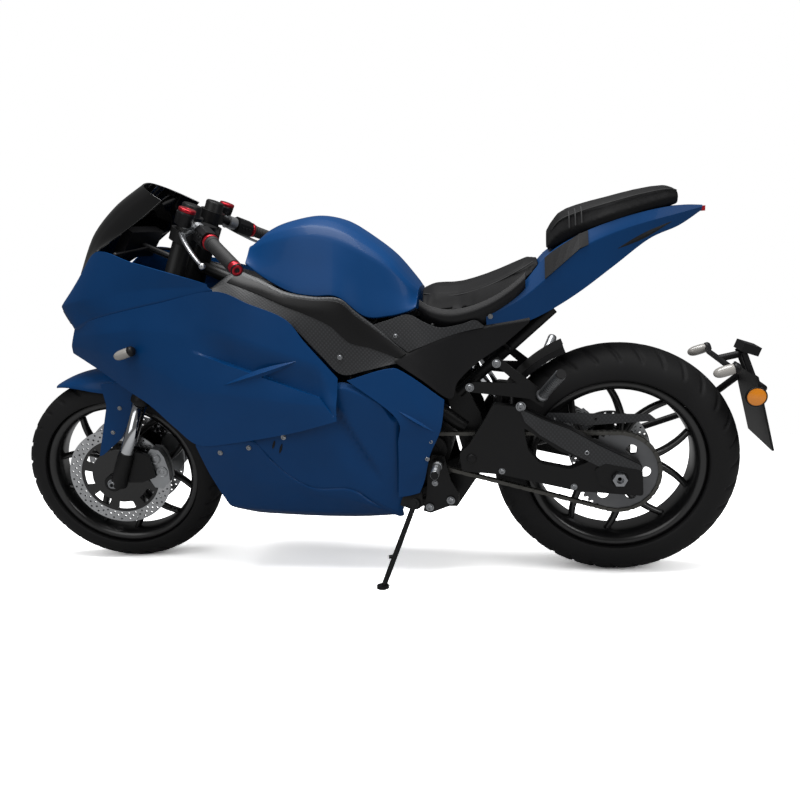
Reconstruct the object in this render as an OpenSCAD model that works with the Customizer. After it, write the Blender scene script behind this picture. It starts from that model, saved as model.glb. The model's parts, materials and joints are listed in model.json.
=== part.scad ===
// Electric sport motorcycle with a full fairing, parked on its side stand.
// The machine faces -X, its left side is -Y and +Z is up. Every piece is drawn upright, with the
// axles' middle at x = 0 and the road at z = 0, and is then leaned over onto the stand.

/* [Wheels] */
// Distance between the two axles
wheelbase = 1426; // [1380:1:1470]
// Height of the front tyre above the seat of its beads
front_wall_h = 77; // [72:1:82]
// Width of the front tyre
front_tyre_w = 110; // [100:1:112]
// Height of the rear tyre above the seat of its beads
rear_wall_h = 98; // [92:1:102]
// Width of the rear tyre
rear_tyre_w = 140; // [130:1:142]
// Radius of the seat that holds the tyres' beads
rim_seat_r = 216; // [212:1:218]
// Height of a rim's lips above its bead seat
rim_lip_h = 12; // [8:1:14]
// Number of forked spokes in a wheel
spoke_count = 5; // [4:1:6]
// Diameter of the front brake discs
front_disc_d = 300; // [280:2:310]
// Diameter of the rear brake disc
rear_disc_d = 220; // [200:2:240]

/* [Steering] */
// Rake of the steering axis from upright, in degrees
rake = 25; // [24:0.5:26]
// Distance from the front contact to where the steering axis meets the road
trail = 95; // [88:1:102]
// Angle that the bars are turned to the left when parked, in degrees
steer_rest = 9; // [5:1:12]
// Distance from the middle to the centre of a fork leg
fork_half = 100; // [97:1:104]
// Radius of a fork's upper tube
fork_tube_r = 25; // [23:0.5:27]
// Radius of a fork's bright slider
slider_r = 19; // [17:0.5:21]
// Length of a handlebar from its clamp to its end
bar_len = 275; // [260:1:285]

/* [Body] */
// Half width of the side fairings at their widest
fairing_half = 236; // [228:1:244]
// Half width of the tank at its knee line
tank_half = 162; // [156:1:166]
// Height of the tank's top
tank_top = 993; // [980:1:1010]
// Height of the windscreen's top edge
screen_top = 1114; // [1090:1:1140]
// Height of the belly pan's underside above the road
belly_clear = 181; // [170:1:190]
// Thickness of the moulded panels
panel_t = 4; // [3:0.5:5]
// Gap between neighbouring panels
panel_gap = 2; // [1.5:0.5:4]

/* [Rear] */
// Distance of the swingarm's pivot behind the middle
pivot_x = 350; // [344:1:356]
// Height of the swingarm's pivot
pivot_z = 366; // [360:1:372]
// Distance from the middle to an arm's outer face
arm_half = 140; // [138:1:144]
// Thickness of a swingarm's arm
arm_t = 28; // [24:1:30]
// Teeth on the rear sprocket
rear_teeth = 41; // [38:1:43]
// Teeth on the motor's sprocket
motor_teeth = 17; // [15:1:18]
// Pitch of the drive chain
chain_pitch = 15.875; // [15.5:0.125:16]
// Distance from the middle to the chain's line
chain_half = 97; // [95:1:99]

/* [Parking] */
// Lean onto the side stand, in degrees
lean = 9.4; // [8:0.1:11]
// Distance from the middle to the side stand's pivot
stand_half = 152; // [150:1:158]
// Distance of the stand's pivot behind the middle
stand_x = 197; // [190:1:204]
// Height of the stand's pivot
stand_z = 247; // [240:1:254]

/* [Hidden] */
$fn = 48;

// Paint, plastic and metal colours
blue = [0.05, 0.23, 0.44];
black = [0.07, 0.07, 0.08];
carbon = [0.16, 0.16, 0.18];
leather = [0.05, 0.05, 0.055];
silver = [0.72, 0.73, 0.75];
red = [0.75, 0.10, 0.12];
amber = [0.95, 0.50, 0.05];
clear_lens = [0.85, 0.87, 0.90];

// Axles
front_x = -wheelbase / 2;
rear_x = wheelbase / 2;
front_tyre_r = rim_seat_r + front_wall_h;
rear_tyre_r = rim_seat_r + rear_wall_h;
front_z = front_tyre_r;
rear_z = rear_tyre_r;

// Clearances
press_gap = 0.3;

// Steering frame: origin where the axis meets the road, h along the axis, a behind it
head_x = front_x - trail;
axle_a = -(front_z * sin(rake) - trail * cos(rake));
axle_h = trail * sin(rake) + front_z * cos(rake);
leg_a = axle_a + 12;
tube_low_h = 575;
clamp_low_h = 410;
lower_yoke_h = 800;
upper_yoke_h = 1045;
yoke_t = 32;
stem_r = 17;
head_tube_r = 30;
bar_clamp_h = upper_yoke_h + 60;
leg_top_h = bar_clamp_h + 40;

// Parking: both tyres and the stand's foot touch the road
front_crown = front_tyre_w / 2;
rear_crown = rear_tyre_w / 2;
function rot_y(p, a) = [p[0] * cos(a) + p[2] * sin(a), p[1], p[2] * cos(a) - p[0] * sin(a)];
function rot_z(p, a) = [p[0] * cos(a) - p[1] * sin(a), p[0] * sin(a) + p[1] * cos(a), p[2]];
function rot_x(p, a) = [p[0], p[1] * cos(a) - p[2] * sin(a), p[1] * sin(a) + p[2] * cos(a)];
function to_steer(p) = rot_y(p - [head_x, 0, 0], -rake);
function from_steer(p) = rot_y(p, rake) + [head_x, 0, 0];
function steered(p) = from_steer(rot_z(to_steer(p), steer_rest));
function steered_way(v) = rot_y(rot_z(rot_y(v, -rake), steer_rest), rake);
// Lowest point of a round tyre from its centre, axle direction, radius and crown radius
function tyre_low(c, a, r, crown) = c[2] - (r - crown) * sqrt(1 - a[2] * a[2]) - crown;
front_centre = steered([front_x, 0, front_z]);
front_low = tyre_low(rot_x(front_centre, lean), rot_x(steered_way([0, 1, 0]), lean),
    front_tyre_r, front_crown);
rear_low = tyre_low(rot_x([rear_x, 0, rear_z], lean), rot_x([0, 1, 0], lean), rear_tyre_r, rear_crown);
nose_pitch = atan((front_low - rear_low) / wheelbase);
park_lift = -(front_low + rear_low) / 2;
// A leaned point of the upright machine, and the upright point above a spot on the road
function park_raw(p) = rot_y(rot_x(p, lean), -nose_pitch) + [0, 0, park_lift];
function unpark_raw(p) = rot_x(rot_y(p - [0, 0, park_lift], nose_pitch), -lean);

// Outermost points that place the origin under the middle of the parked machine
front_way = rot_y(rot_x(steered_way([0, 1, 0]), lean), -nose_pitch);
front_reach = park_raw(front_centre)[0] - (front_tyre_r - front_crown) * sqrt(1 - front_way[0] * front_way[0])
    - front_crown;
plate_tilt = 14;
function on_plate(p) = rot_y(p, -plate_tilt) + [1050, 0, 470];
rear_reach = max([for (s = [-1, 1]) each [park_raw(on_plate([2, s * 92, -108]))[0],
    park_raw(on_plate([2 + press_gap + 7, s * 22, -80]))[0]]]);
mid_x = (front_reach + rear_reach) / 2;
bar_way = unit([0.74, -0.80, -0.12]);
bar_end_r = 15;
bar_end_len = 18;
function on_bar(d) = [leg_a, -fork_half, bar_clamp_h] + bar_way * d;
function mirrored(p) = [p[0], -p[1], p[2]];
function bar_side(p) = park_raw(from_steer(rot_z(p, steer_rest)))[1];
function bar_turn(v) = rot_x(rot_y(rot_z(v, steer_rest), rake), lean)[1];
function disc_half(w) = bar_end_r * sqrt(1 - w * w);
left_reach = bar_side(on_bar(bar_len + bar_end_len)) - disc_half(bar_turn(bar_way));
right_reach = bar_side(mirrored(on_bar(bar_len + bar_end_len))) + disc_half(bar_turn(mirrored(bar_way)));
mid_y = (left_reach + right_reach) / 2;

// Side stand: its leg runs from the pivot to a foot on the road
stand_pivot = [stand_x, -stand_half, stand_z];
stand_foot = unpark_raw([stand_x - 87, -226, 0]);
stand_leg = stand_foot - stand_pivot;

// Fairing lines: each row is [x, half width, height] from the nose to the rear
fw = fairing_half;
CREASE = [[-742, 95, 737], [-650, 140, 766], [-540, 176, 787], [-420, 198, 806], [-260, 214, 830]];
FAIRING_TOP = concat(CREASE,
    [[-170, 207, 793], [-86, 202, 752], [-40, 199, 690], [31, 191, 598]]);
FAIRING_SHOULDER = [[-752, 96, 712], [-625, 157, 728], [-490, 194, 738], [-375, 214, 728],
    [-270, fw - 13, 712], [-190, fw - 14, 690], [-110, fw - 20, 652], [-40, fw - 27, 608], [28, 198, 560]];
FAIRING_BELT = [[-764, 90, 690], [-648, 146, 680], [-530, 186, 664], [-430, 210, 628],
    [-340, fw - 7, 585], [-255, fw, 575], [-180, fw - 2, 562], [-80, fw - 9, 545], [25, 208, 528]];
FAIRING_LOW = [[-773, 78, 667], [-663, 130, 625], [-562, 170, 576], [-489, 193, 538], [-416, 212, 481],
    [-356, fw - 14, 438], [-276, fw - 11, 439], [-97, fw - 14, 465], [23, 211, 492]];
// Cowl lines, from the middle of the nose round to the rear
COWL_LOW = concat([[-760, 0, 739]], [for (p = CREASE) p + [-panel_gap, -1, panel_gap + 1.5]]);
COWL_LAMP = [[-800, 0, 797], [-786, 72, 800], [-700, 125, 815], [-585, 162, 830], [-440, 193, 843],
    [-272, 212, 840]];
COWL_TOP = [[-716, 0, 880], [-692, 92, 878], [-602, 140, 942], [-484, 185, 912], [-380, 206, 882],
    [-274, 211, 848]];
// Windscreen lines, from the middle to the side
SCREEN = [[[-721, 0, 883], [-702, 80, 883], [-655, 112, 913], [-607, 136, 943.8]],
    [[-660, 0, 985], [-645, 75, 985], [-600, 106, 985], [-530, 124, 985]],
    [[-584, 0, 1060], [-572, 66, 1055], [-530, 98, 1040], [-465, 118, 1022]],
    [[-500, 0, screen_top], [-490, 55, screen_top - 9], [-455, 90, screen_top - 32],
        [-415, 106, screen_top - 56]]];
// Lower body lines
INNER_LOW = [[-204, 206, 444], [-163, 194, 383], [-125, 180, 335], [-64, 166, 298], [30, 161, 293],
    [92, 148, 250], [146, 140, 216]];
INNER_TOP = [[-200, 196, 470], [-110, 193, 500], [-30, 190, 530], [30, 186, 570], [94, 184, 546],
    [132, 182, 522], [158, 180, 480]];
REAR_BACK = [[213, 155, 277], [229, 160, 316], [248, 165, 386], [279, 170, 454], [292, 170, 530]];
REAR_MID = [[188, 158, 271], [198, 166, 340], [212, 174, 420], [232, 179, 490], [175, 176, 616]];
REAR_FRONT = [[156, 160, 266], [163, 168, 340], [169, 178, 420], [169, 186, 492], [52, 186, 590]];
BELLY_TOP = [[-362, 219, 432], [-276, 220, 434], [-212, 211, 437], [-167, 196, 376], [-122, 179, 325],
    [-66, 166, 290], [28, 161, 285], [80, 148, 244], [143, 119, 202]];
BELLY_SIDE = [[-350, 188, 340], [-290, 187, 332], [-230, 183, 322], [-170, 176, 306], [-110, 167, 290],
    [-60, 158, 268], [30, 153, 254], [85, 141, 229], [144, 114, 197]];
BELLY_EDGE = [[-325, 150, 236], [-280, 146, 228], [-225, 142, 222], [-160, 138, 216], [-100, 133, 212],
    [-50, 128, 208], [30, 122, 204], [90, 116, 200], [145, 106, 191]];
BELLY_FLOOR = [[-303, 100, belly_clear + 19], [-265, 96, belly_clear + 10], [-215, 95, belly_clear + 6],
    [-150, 95, belly_clear + 3], [-95, 95, belly_clear + 1], [-45, 95, belly_clear],
    [30, 94, belly_clear], [90, 92, belly_clear + 2], [146, 88, belly_clear + 5]];
// Trim and covers between the fairing, the tank and the seat
TRIM_LOW = [[-262, 204, 826], [-170, 198, 789], [-88, 193, 748], [-58, 190, 716], [-8, 187, 656],
    [40, 184, 606], [100, 178, 612], [160, 172, 624]];
TRIM_TOP = [[-215, 150, 866], [-150, 164, 838], [-90, 172, 808], [-20, 176, 793], [45, 174, 785],
    [85, 168, 748], [128, 160, 712], [203, 153, 648]];
COVER_TOP = [[122, 156, 722], [165, 149, 733], [210, 143, 742], [250, 148, 722], [288, 151, 708],
    [340, 150, 714], [373, 146, 722], [394, 140, 706]];
COVER_LOW = [[206, 155, 650], [220, 155, 656], [240, 155, 663], [262, 154, 671], [290, 153, 681],
    [325, 151, 691], [360, 147, 698], [392, 140, 702]];
LOWER_TOP = [[174, 169, 632], [210, 155, 646], [262, 153, 667], [325, 150, 687], [394, 139, 697],
    [450, 131, 705], [503, 124, 712]];
LOWER_LOW = [[178, 169, 626], [238, 170, 583], [305, 164, 532], [326, 150, 572], [375, 139, 616],
    [440, 131, 658], [500, 124, 706]];

// Tank stations: x, top height, crease half width and height, knee half width and height
TANK = [[-205, tank_top - 61, 80, 924, tank_half - 44, 888],
    [-150, tank_top - 21, 100, 936, tank_half - 24, 850],
    [-80, tank_top - 3, 113, 944, tank_half - 6, 815],
    [-20, tank_top, 116, 943, tank_half, 803],
    [40, tank_top - 17, 114, 928, tank_half - 2, 797],
    [100, tank_top - 57, 108, 896, tank_half - 17, 745],
    [160, tank_top - 109, 100, 856, tank_half - 28, 741],
    [205, tank_top - 167, 88, 808, tank_half - 38, 748],
    [226, tank_top - 196, 62, 786, tank_half - 52, 756]];
// Depth of the tank's flat floor below its knee line
tank_floor = 6;
// Tail stations: x, top half width and height, ridge half width and height, low half width and height
TAIL = [[400, 124, 746, 137, 726, 131, 703],
    [481, 116, 794, 131, 764, 121, 706],
    [546, 106, 862, 125, 812, 113, 730],
    [620, 98, 905, 115, 872, 104, 772],
    [700, 90, 932, 102, 905, 92, 828],
    [780, 76, 949, 85, 925, 74, 884],
    [850, 57, 956, 62, 938, 50, 910],
    [903, 36, 953, 38, 949, 30, 941]];
// Seat stations: x, top height, top half width, rim half width and height
SEAT = [[232, 793, 58, 112, 758],
    [268, 798, 82, 132, 740],
    [327, 797, 96, 142, 732],
    [405, 816, 104, 139, 752],
    [481, 844, 98, 128, 798],
    [530, 862, 84, 108, 852]];
PILLION = [[548, 912, 64, 88, 878],
    [575, 952, 80, 96, 905],
    [620, 970, 88, 104, 922],
    [690, 984, 88, 106, 944],
    [760, 997, 76, 92, 960],
    [826, 1002, 54, 70, 972],
    [854, 988, 34, 46, 973]];

// Blending helpers
function blend4(a, b, c, d, t) = 0.5 * (2 * b + (c - a) * t + (2 * a - 5 * b + 4 * c - d) * t * t
    + (3 * b - a - 3 * c + d) * t * t * t);
// A smooth point on a line of knots, s from 0 to 1
function along(line, s) = let(n = len(line) - 1, k = min(floor(s * n), n - 1), t = s * n - k)
    blend4(line[max(k - 1, 0)], line[k], line[k + 1], line[min(k + 2, n)], t);
function left_row(line, n) = [for (j = [0:n]) let(p = along(line, j / n)) [p[0], -p[1], p[2]]];
function right_row(line, n) = [for (j = [0:n]) along(line, j / n)];
function wrap_row(line, n) = concat([for (j = [n:-1:1]) along(line, j / n)], left_row(line, n));
function unit(v) = v / norm(v);

// Outward direction at a grid point, and a grid moved outward
function outward(grid, i, j) = let(rows = len(grid), cols = len(grid[0])) unit(cross(
    grid[i][min(j + 1, cols - 1)] - grid[i][max(j - 1, 0)],
    grid[min(i + 1, rows - 1)][j] - grid[max(i - 1, 0)][j]));
function lifted(grid, d) = [for (i = [0:len(grid) - 1]) [for (j = [0:len(grid[0]) - 1])
    grid[i][j] + d * outward(grid, i, j)]];

// A thin moulded panel: a grid of outer points and its copy, moved in by the wall
module panel(grid, wall) {
    rows = len(grid);
    cols = len(grid[0]);
    last = rows * cols;
    outer = [for (i = [0:rows - 1]) for (j = [0:cols - 1]) grid[i][j]];
    inner = [for (i = [0:rows - 1]) for (j = [0:cols - 1]) grid[i][j] - wall * outward(grid, i, j)];
    function at(i, j) = i * cols + j;
    skin = [for (i = [0:rows - 2]) for (j = [0:cols - 2]) each
        [[at(i, j), at(i + 1, j), at(i + 1, j + 1)], [at(i, j), at(i + 1, j + 1), at(i, j + 1)]]];
    back = [for (f = skin) [f[2] + last, f[1] + last, f[0] + last]];
    rim = concat([for (j = [0:cols - 1]) at(0, j)], [for (i = [1:rows - 1]) at(i, cols - 1)],
        [for (j = [cols - 2:-1:0]) at(rows - 1, j)], [for (i = [rows - 2:-1:1]) at(i, 0)]);
    edge = [for (k = [0:len(rim) - 1]) let(a = rim[k], b = rim[(k + 1) % len(rim)]) each
        [[a, b, b + last], [a, b + last, a + last]]];
    polyhedron(concat(outer, inner), concat(skin, back, edge), convexity = 8);
}

// A solid through a row of closed rings
module loft(rings) {
    n = len(rings[0]);
    last = len(rings) - 1;
    points = [for (ring = rings) each ring];
    walls = [for (i = [0:last - 1]) for (k = [0:n - 1]) let(m = (k + 1) % n) each
        [[i * n + k, (i + 1) * n + k, (i + 1) * n + m], [i * n + k, (i + 1) * n + m, i * n + m]]];
    caps = [[for (k = [0:n - 1]) k], [for (k = [n - 1:-1:0]) last * n + k]];
    polyhedron(points, concat(walls, caps), convexity = 6);
}
// A ring at x from its right half, given as [half width, height] from the top down to the bottom
function ring(x, half) = concat([for (p = half) [x, p[0], p[1]]],
    [for (i = [len(half) - 1:-1:0]) if (half[i][0] > 0) [x, -half[i][0], half[i][1]]]);

// Placing
module parked() translate([-mid_x, -mid_y, park_lift]) rotate([0, -nose_pitch, 0]) rotate([lean, 0, 0])
    children();
module on_axis() translate([head_x, 0, 0]) rotate([0, rake, 0]) children();
module turned() on_axis() rotate([0, 0, steer_rest]) children();
module wheel_at(x, z) translate([x, 0, z]) rotate([90, 0, 0]) children();
module steered_wheel() turned() translate([axle_a, 0, axle_h]) rotate([0, -rake, 0]) rotate([90, 0, 0])
    children();
module both_sides() {
    children();
    mirror([0, 1, 0]) children();
}
// A round bar between two points
module bar(a, b, r) {
    v = b - a;
    translate(a) rotate([0, acos(v[2] / norm(v)), atan2(v[1], v[0])]) cylinder(r = r, h = norm(v));
}
// A plate in the side view between two distances from the middle, on the left
module side_plate(points, y0, y1) translate([0, -y0, 0]) rotate([90, 0, 0])
    linear_extrude(y1 - y0) polygon(points);
// A disc on the left side with its axis across the machine
module boss(x, z, r, y0, y1) translate([x, -y0, z]) rotate([90, 0, 0]) cylinder(r = r, h = y1 - y0);

// Wheels
module tyre(r, w, lip_half) {
    seat = rim_seat_r + press_gap;
    rotate_extrude($fn = 96) difference() {
        translate([r - w / 2, 0]) circle(r = w / 2, $fn = 64);
        translate([0, -w]) square([rim_seat_r + rim_lip_h + press_gap, w - lip_half + 4.7]);
        translate([0, lip_half - 4.7]) square([rim_seat_r + rim_lip_h + press_gap, w]);
        translate([0, -w]) square([seat, 2 * w]);
    }
}
// Rim, five forked spokes and hub of a cast wheel
module cast_rim(lip_half, hub_r, hub_half, bore_r) {
    well = 14;
    rotate_extrude($fn = 96) difference() {
        union() {
            translate([rim_seat_r - well, -lip_half]) square([well, 2 * lip_half]);
            for (s = [-1, 1]) translate([rim_seat_r - well, s * (lip_half - 2) - 2])
                square([well + rim_lip_h, 4]);
        }
        translate([rim_seat_r - 5, -lip_half + 14]) square([9, 2 * lip_half - 28]);
    }
    difference() {
        union() {
            translate([0, 0, -hub_half]) cylinder(r = hub_r, h = 2 * hub_half);
            for (k = [0:spoke_count - 1]) rotate([0, 0, 360 / spoke_count * k]) forked_spoke(hub_r, well);
        }
        translate([0, 0, -hub_half - 1]) cylinder(r = bore_r, h = 2 * hub_half + 2);
    }
}
// One spoke: a short stem that parts into two arms
module forked_spoke(hub_r, well) {
    reach = rim_seat_r - well + 2;
    fork_r = reach * 0.52;
    spread = 24;
    for (s = [-1, 1]) translate([0, 0, -11]) linear_extrude(22) polygon([
        [hub_r - 4, s * 3 - 10], [hub_r - 4, s * 3 + 10], [fork_r, s * 9 + 7],
        [reach * cos(spread), s * reach * sin(spread) + 7], [reach * cos(spread), s * reach * sin(spread) - 7],
        [fork_r, s * 9 - 7]]);
}
front_lip_half = 45;
rear_lip_half = 58;
front_hub_half = 42;
rear_hub_half = 60;
axle_r = 9;
axle_bore = 5;
module front_tyre() color(black) parked() steered_wheel() tyre(front_tyre_r, front_tyre_w, front_lip_half);
module front_rim() color(black) parked() steered_wheel()
    cast_rim(front_lip_half, 40, front_hub_half, axle_r + press_gap);
module rear_tyre() color(black) parked() wheel_at(rear_x, rear_z)
    tyre(rear_tyre_r, rear_tyre_w, rear_lip_half);
module rear_rim() color(black) parked() wheel_at(rear_x, rear_z)
    cast_rim(rear_lip_half, 52, rear_hub_half, axle_r + press_gap);

// A brake disc with its carrier, one face on its hub
module brake_disc(d, band, carrier_r) {
    difference() {
        cylinder(d = d, h = 5, $fn = 96);
        translate([0, 0, -1]) cylinder(r = d / 2 - band, h = 7, $fn = 72);
    }
    difference() {
        cylinder(r = d / 2 - band + 1, h = 5, $fn = 72);
        translate([0, 0, -1]) cylinder(r = axle_r + 8, h = 7);
        for (k = [0:9]) rotate([0, 0, 36 * k]) translate([carrier_r, 0, -1]) cylinder(r = 13, h = 7);
    }
}
front_disc_y = 58;
rear_disc_y = 78;
module front_discs() color(silver) parked() steered_wheel() for (s = [0, 1]) mirror([0, 0, s]) {
    translate([0, 0, front_disc_y]) brake_disc(front_disc_d, 34, 88);
    difference() {
        translate([0, 0, front_hub_half]) cylinder(r = 36, h = front_disc_y - front_hub_half + 1);
        translate([0, 0, front_hub_half - 1]) cylinder(r = axle_r + 8, h = front_disc_y);
    }
}
module rear_disc() color(silver) parked() wheel_at(rear_x, rear_z) mirror([0, 0, 1]) {
    translate([0, 0, rear_disc_y]) brake_disc(rear_disc_d, 30, 56);
    difference() {
        translate([0, 0, rear_hub_half]) cylinder(r = 40, h = rear_disc_y - rear_hub_half + 1);
        translate([0, 0, rear_hub_half - 1]) cylinder(r = axle_r + 8, h = rear_disc_y);
    }
}

// Final drive
function pitch_r(teeth) = chain_pitch / (2 * sin(180 / teeth));
roller_r = 5.1;
plate_half = 7;
motor_sprocket_x = 245;
motor_sprocket_z = 378;
chain_span = [rear_x - motor_sprocket_x, rear_z - motor_sprocket_z];
sprocket_r = pitch_r(rear_teeth) - roller_r - 1;
module rear_sprocket() color(silver) parked() wheel_at(rear_x, rear_z) {
    difference() {
        translate([0, 0, chain_half - 3]) cylinder(r = sprocket_r, h = 6, $fn = 82);
        translate([0, 0, chain_half - 4]) cylinder(r = axle_r + 8, h = 8);
        for (k = [0:4]) rotate([0, 0, 72 * k + 10]) translate([66, 0, chain_half - 4])
            cylinder(r = 17, h = 8);
    }
    difference() {
        translate([0, 0, rear_hub_half]) cylinder(r = 44, h = chain_half - rear_hub_half - 2);
        translate([0, 0, rear_hub_half - 1]) cylinder(r = axle_r + 8, h = chain_half);
    }
}
// Outline of a belt round both sprockets, at a distance from the pitch line
module belt(out) hull() {
    circle(r = pitch_r(motor_teeth) + out, $fn = 48);
    translate([norm(chain_span), 0]) circle(r = pitch_r(rear_teeth) + out, $fn = 72);
}
module chain() color(silver) parked()
    translate([motor_sprocket_x, -chain_half, motor_sprocket_z])
    rotate([0, -atan2(chain_span[1], chain_span[0]), 0]) rotate([90, 0, 0])
    translate([0, 0, -plate_half]) linear_extrude(2 * plate_half) difference() {
        belt(roller_r + 2);
        belt(-roller_r);
    }
module drive_motor() color(black) parked() {
    boss(motor_sprocket_x - 35, motor_sprocket_z, 82, -110, 70);
    translate([cross_x - 30, -plate_in + 4, rail_z + 2 + rail_r + press_gap])
        cube([60, 2 * plate_in - 8, 70]);
    boss(motor_sprocket_x, motor_sprocket_z, 14, 69, chain_half + 8);
    boss(motor_sprocket_x, motor_sprocket_z, pitch_r(motor_teeth) - roller_r - 0.5,
        chain_half - 3, chain_half + 3);
}

// Frame: head tube, two spars, pivot plates, lower rails and seat rails
plate_in = 62;
plate_out = 74;
rail_half = 84;
rail_r = 14;
rail_z = 226;
cross_x = 210;
brace = [pivot_x + 66, 0, pivot_z + 120];
brace_r = 12;
pivot_r = 12;
shock_top = [300, 0, 676];
head_low = lower_yoke_h + yoke_t + 1;
// Left tubes of the frame: start, end, radius
SPAR_TOP = [from_steer([18, -18, head_low + 150]), [60, -rail_half, 700], 16];
SPAR_LOW = [from_steer([18, -18, head_low + 40]), [60, -rail_half, 640], 20];
SPAR_BACK = [[60, -rail_half, 640], [330, -plate_in - 8, 430], 19];
DOWN_TUBE = [from_steer([40, -22, head_low + 90]), [-300, -rail_half, rail_z], 18];
LOW_RAIL = [[-300, -rail_half, rail_z], [250, -plate_in - 6, rail_z], rail_r];
SEAT_RAIL = [[60, -rail_half, 700], [420, -rail_half, 690], rail_r];
TAIL_RAIL = [[420, -rail_half, 690], [760, -60, 888], rail_r - 1];
BACK_STAY = [[318, -plate_in - 8, 523], [560, -72, 733], rail_r];
FRAME_TUBES = [SPAR_TOP, SPAR_LOW, SPAR_BACK, DOWN_TUBE, LOW_RAIL, SEAT_RAIL, TAIL_RAIL, BACK_STAY];
// Cross tubes: x, half length, height, radius
CROSS_TUBES = [[735, 58, 873, 9], [470, 77, 718, 9], [80, rail_half - 3, 699, 10],
    [-300, rail_half, rail_z, rail_r - 1], [cross_x, plate_out, rail_z + 2, rail_r],
    [shock_top[0], rail_half - 2, shock_top[2], 10]];
saddle_x = -80;
saddle_z = lookup(saddle_x, [for (r = TANK) [r[0], r[5]]]) - tank_floor - 10 - press_gap;
module frame() color(black) parked() difference() {
    union() {
        on_axis() translate([0, 0, head_low]) cylinder(r = head_tube_r, h = upper_yoke_h - head_low - 1);
        both_sides() {
            for (t = FRAME_TUBES) bar(t[0], t[1], t[2]);
            for (t = [DOWN_TUBE, SPAR_LOW]) translate(t[1]) sphere(r = t[2] + 3);
            side_plate([[286, 524], [334, 546], [372, 470], [392, 372], [376, 318], [300, 205], [190, 205],
                [190, 250], [296, 300], [322, 366]], plate_in, plate_out);
            bar([saddle_x, -58, saddle_z - 60], [saddle_x, -58, saddle_z + 2], 8);
            bar([545, -73, 722], [545, -75, 760], 9);
        }
        for (t = CROSS_TUBES) bar([t[0], -t[1], t[2]], [t[0], t[1], t[2]], t[3]);
        bar([saddle_x, -66, saddle_z], [saddle_x, 66, saddle_z], 10);
    }
    on_axis() cylinder(r = stem_r + press_gap, h = leg_top_h);
    boss(pivot_x, pivot_z, pivot_r + press_gap, -plate_out - 5, plate_out + 5);
}
module battery_pack() color(carbon) parked() translate([-270, -68, rail_z + rail_r + press_gap])
    cube([375, 136, 320]);

// Swingarm: two arms outside the chain, joined by the pivot tube and a brace
arm_in = arm_half - arm_t;
ARM = [[pivot_x - 26, pivot_z - 34], [pivot_x - 30, pivot_z + 16], [pivot_x - 6, pivot_z + 36],
    [pivot_x + 40, pivot_z + 108], [pivot_x + 58, pivot_z + 142], [pivot_x + 128, pivot_z + 134],
    [rear_x - 110, rear_z + 70],
    [rear_x - 60, rear_z + 42], [rear_x + 56, rear_z + 22], [rear_x + 58, rear_z - 48],
    [rear_x - 100, rear_z - 36], [pivot_x + 76, pivot_z - 44]];
ARM_WINDOW = [[pivot_x + 40, pivot_z + 48], [pivot_x + 92, pivot_z + 96], [pivot_x + 118, pivot_z + 84],
    [pivot_x + 70, pivot_z + 30]];
REAR_WINDOW = [[rear_x - 216, rear_z + 104], [rear_x - 130, rear_z + 52], [rear_x - 178, rear_z + 60]];
module swingarm() color(black) parked() {
    difference() {
        union() {
            both_sides() side_plate(ARM, arm_in, arm_half);
            boss(pivot_x, pivot_z, 22, -arm_in - 1, -plate_out - 1);
            boss(pivot_x, pivot_z, 22, plate_out + 1, arm_in + 1);
        }
        both_sides() {
            side_plate(ARM_WINDOW, arm_in - 1, arm_half + 1);
            side_plate(REAR_WINDOW, arm_in - 1, arm_half + 1);
        }
        boss(rear_x, rear_z, axle_r + press_gap, -arm_half - 1, arm_half + 1);
        boss(pivot_x, pivot_z, pivot_r + press_gap, -arm_half - 1, arm_half + 1);
    }
    bar(brace - [0, arm_in + 1, 0], brace + [0, arm_in + 1, 0], brace_r);
    difference() {
        boss(pivot_x, pivot_z, pivot_r, -arm_half - 4, arm_half + 4);
        boss(pivot_x, pivot_z, 6, -arm_half - 5, arm_half + 5);
    }
}
module rear_axle() color(silver) parked() {
    difference() {
        union() {
            boss(rear_x, rear_z, axle_r, -arm_half - 8, arm_half + 8);
            both_sides() boss(rear_x, rear_z, 16, arm_half + press_gap, arm_half + 9);
        }
        boss(rear_x, rear_z, axle_bore, -arm_half - 10, arm_half + 10);
    }
}
shock_eye = 10 + press_gap;
module rear_shock() color(silver) parked() {
    way = unit(shock_top - brace);
    run = norm(shock_top - brace) - shock_eye - brace_r - press_gap;
    low = brace + way * (brace_r + press_gap);
    bar(low, low + way * run, 12);
    bar(low + way * 30, low + way * (run - 30), 27);
}
module chain_guard() color(carbon) parked() {
    difference() {
        side_plate([[530, 452], [545, 470], [790, 462], [808, 446], [640, 436]], arm_in - 24, arm_in - 20);
        boss(660, 452, 4, arm_in - 30, arm_in);
    }
    bar([560, -arm_in + 22, 455], [560, -arm_in - 2, 430], 5);
}
hugger_clear = 14;
hugger_depth = 16;
hugger_half = 62;
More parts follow.
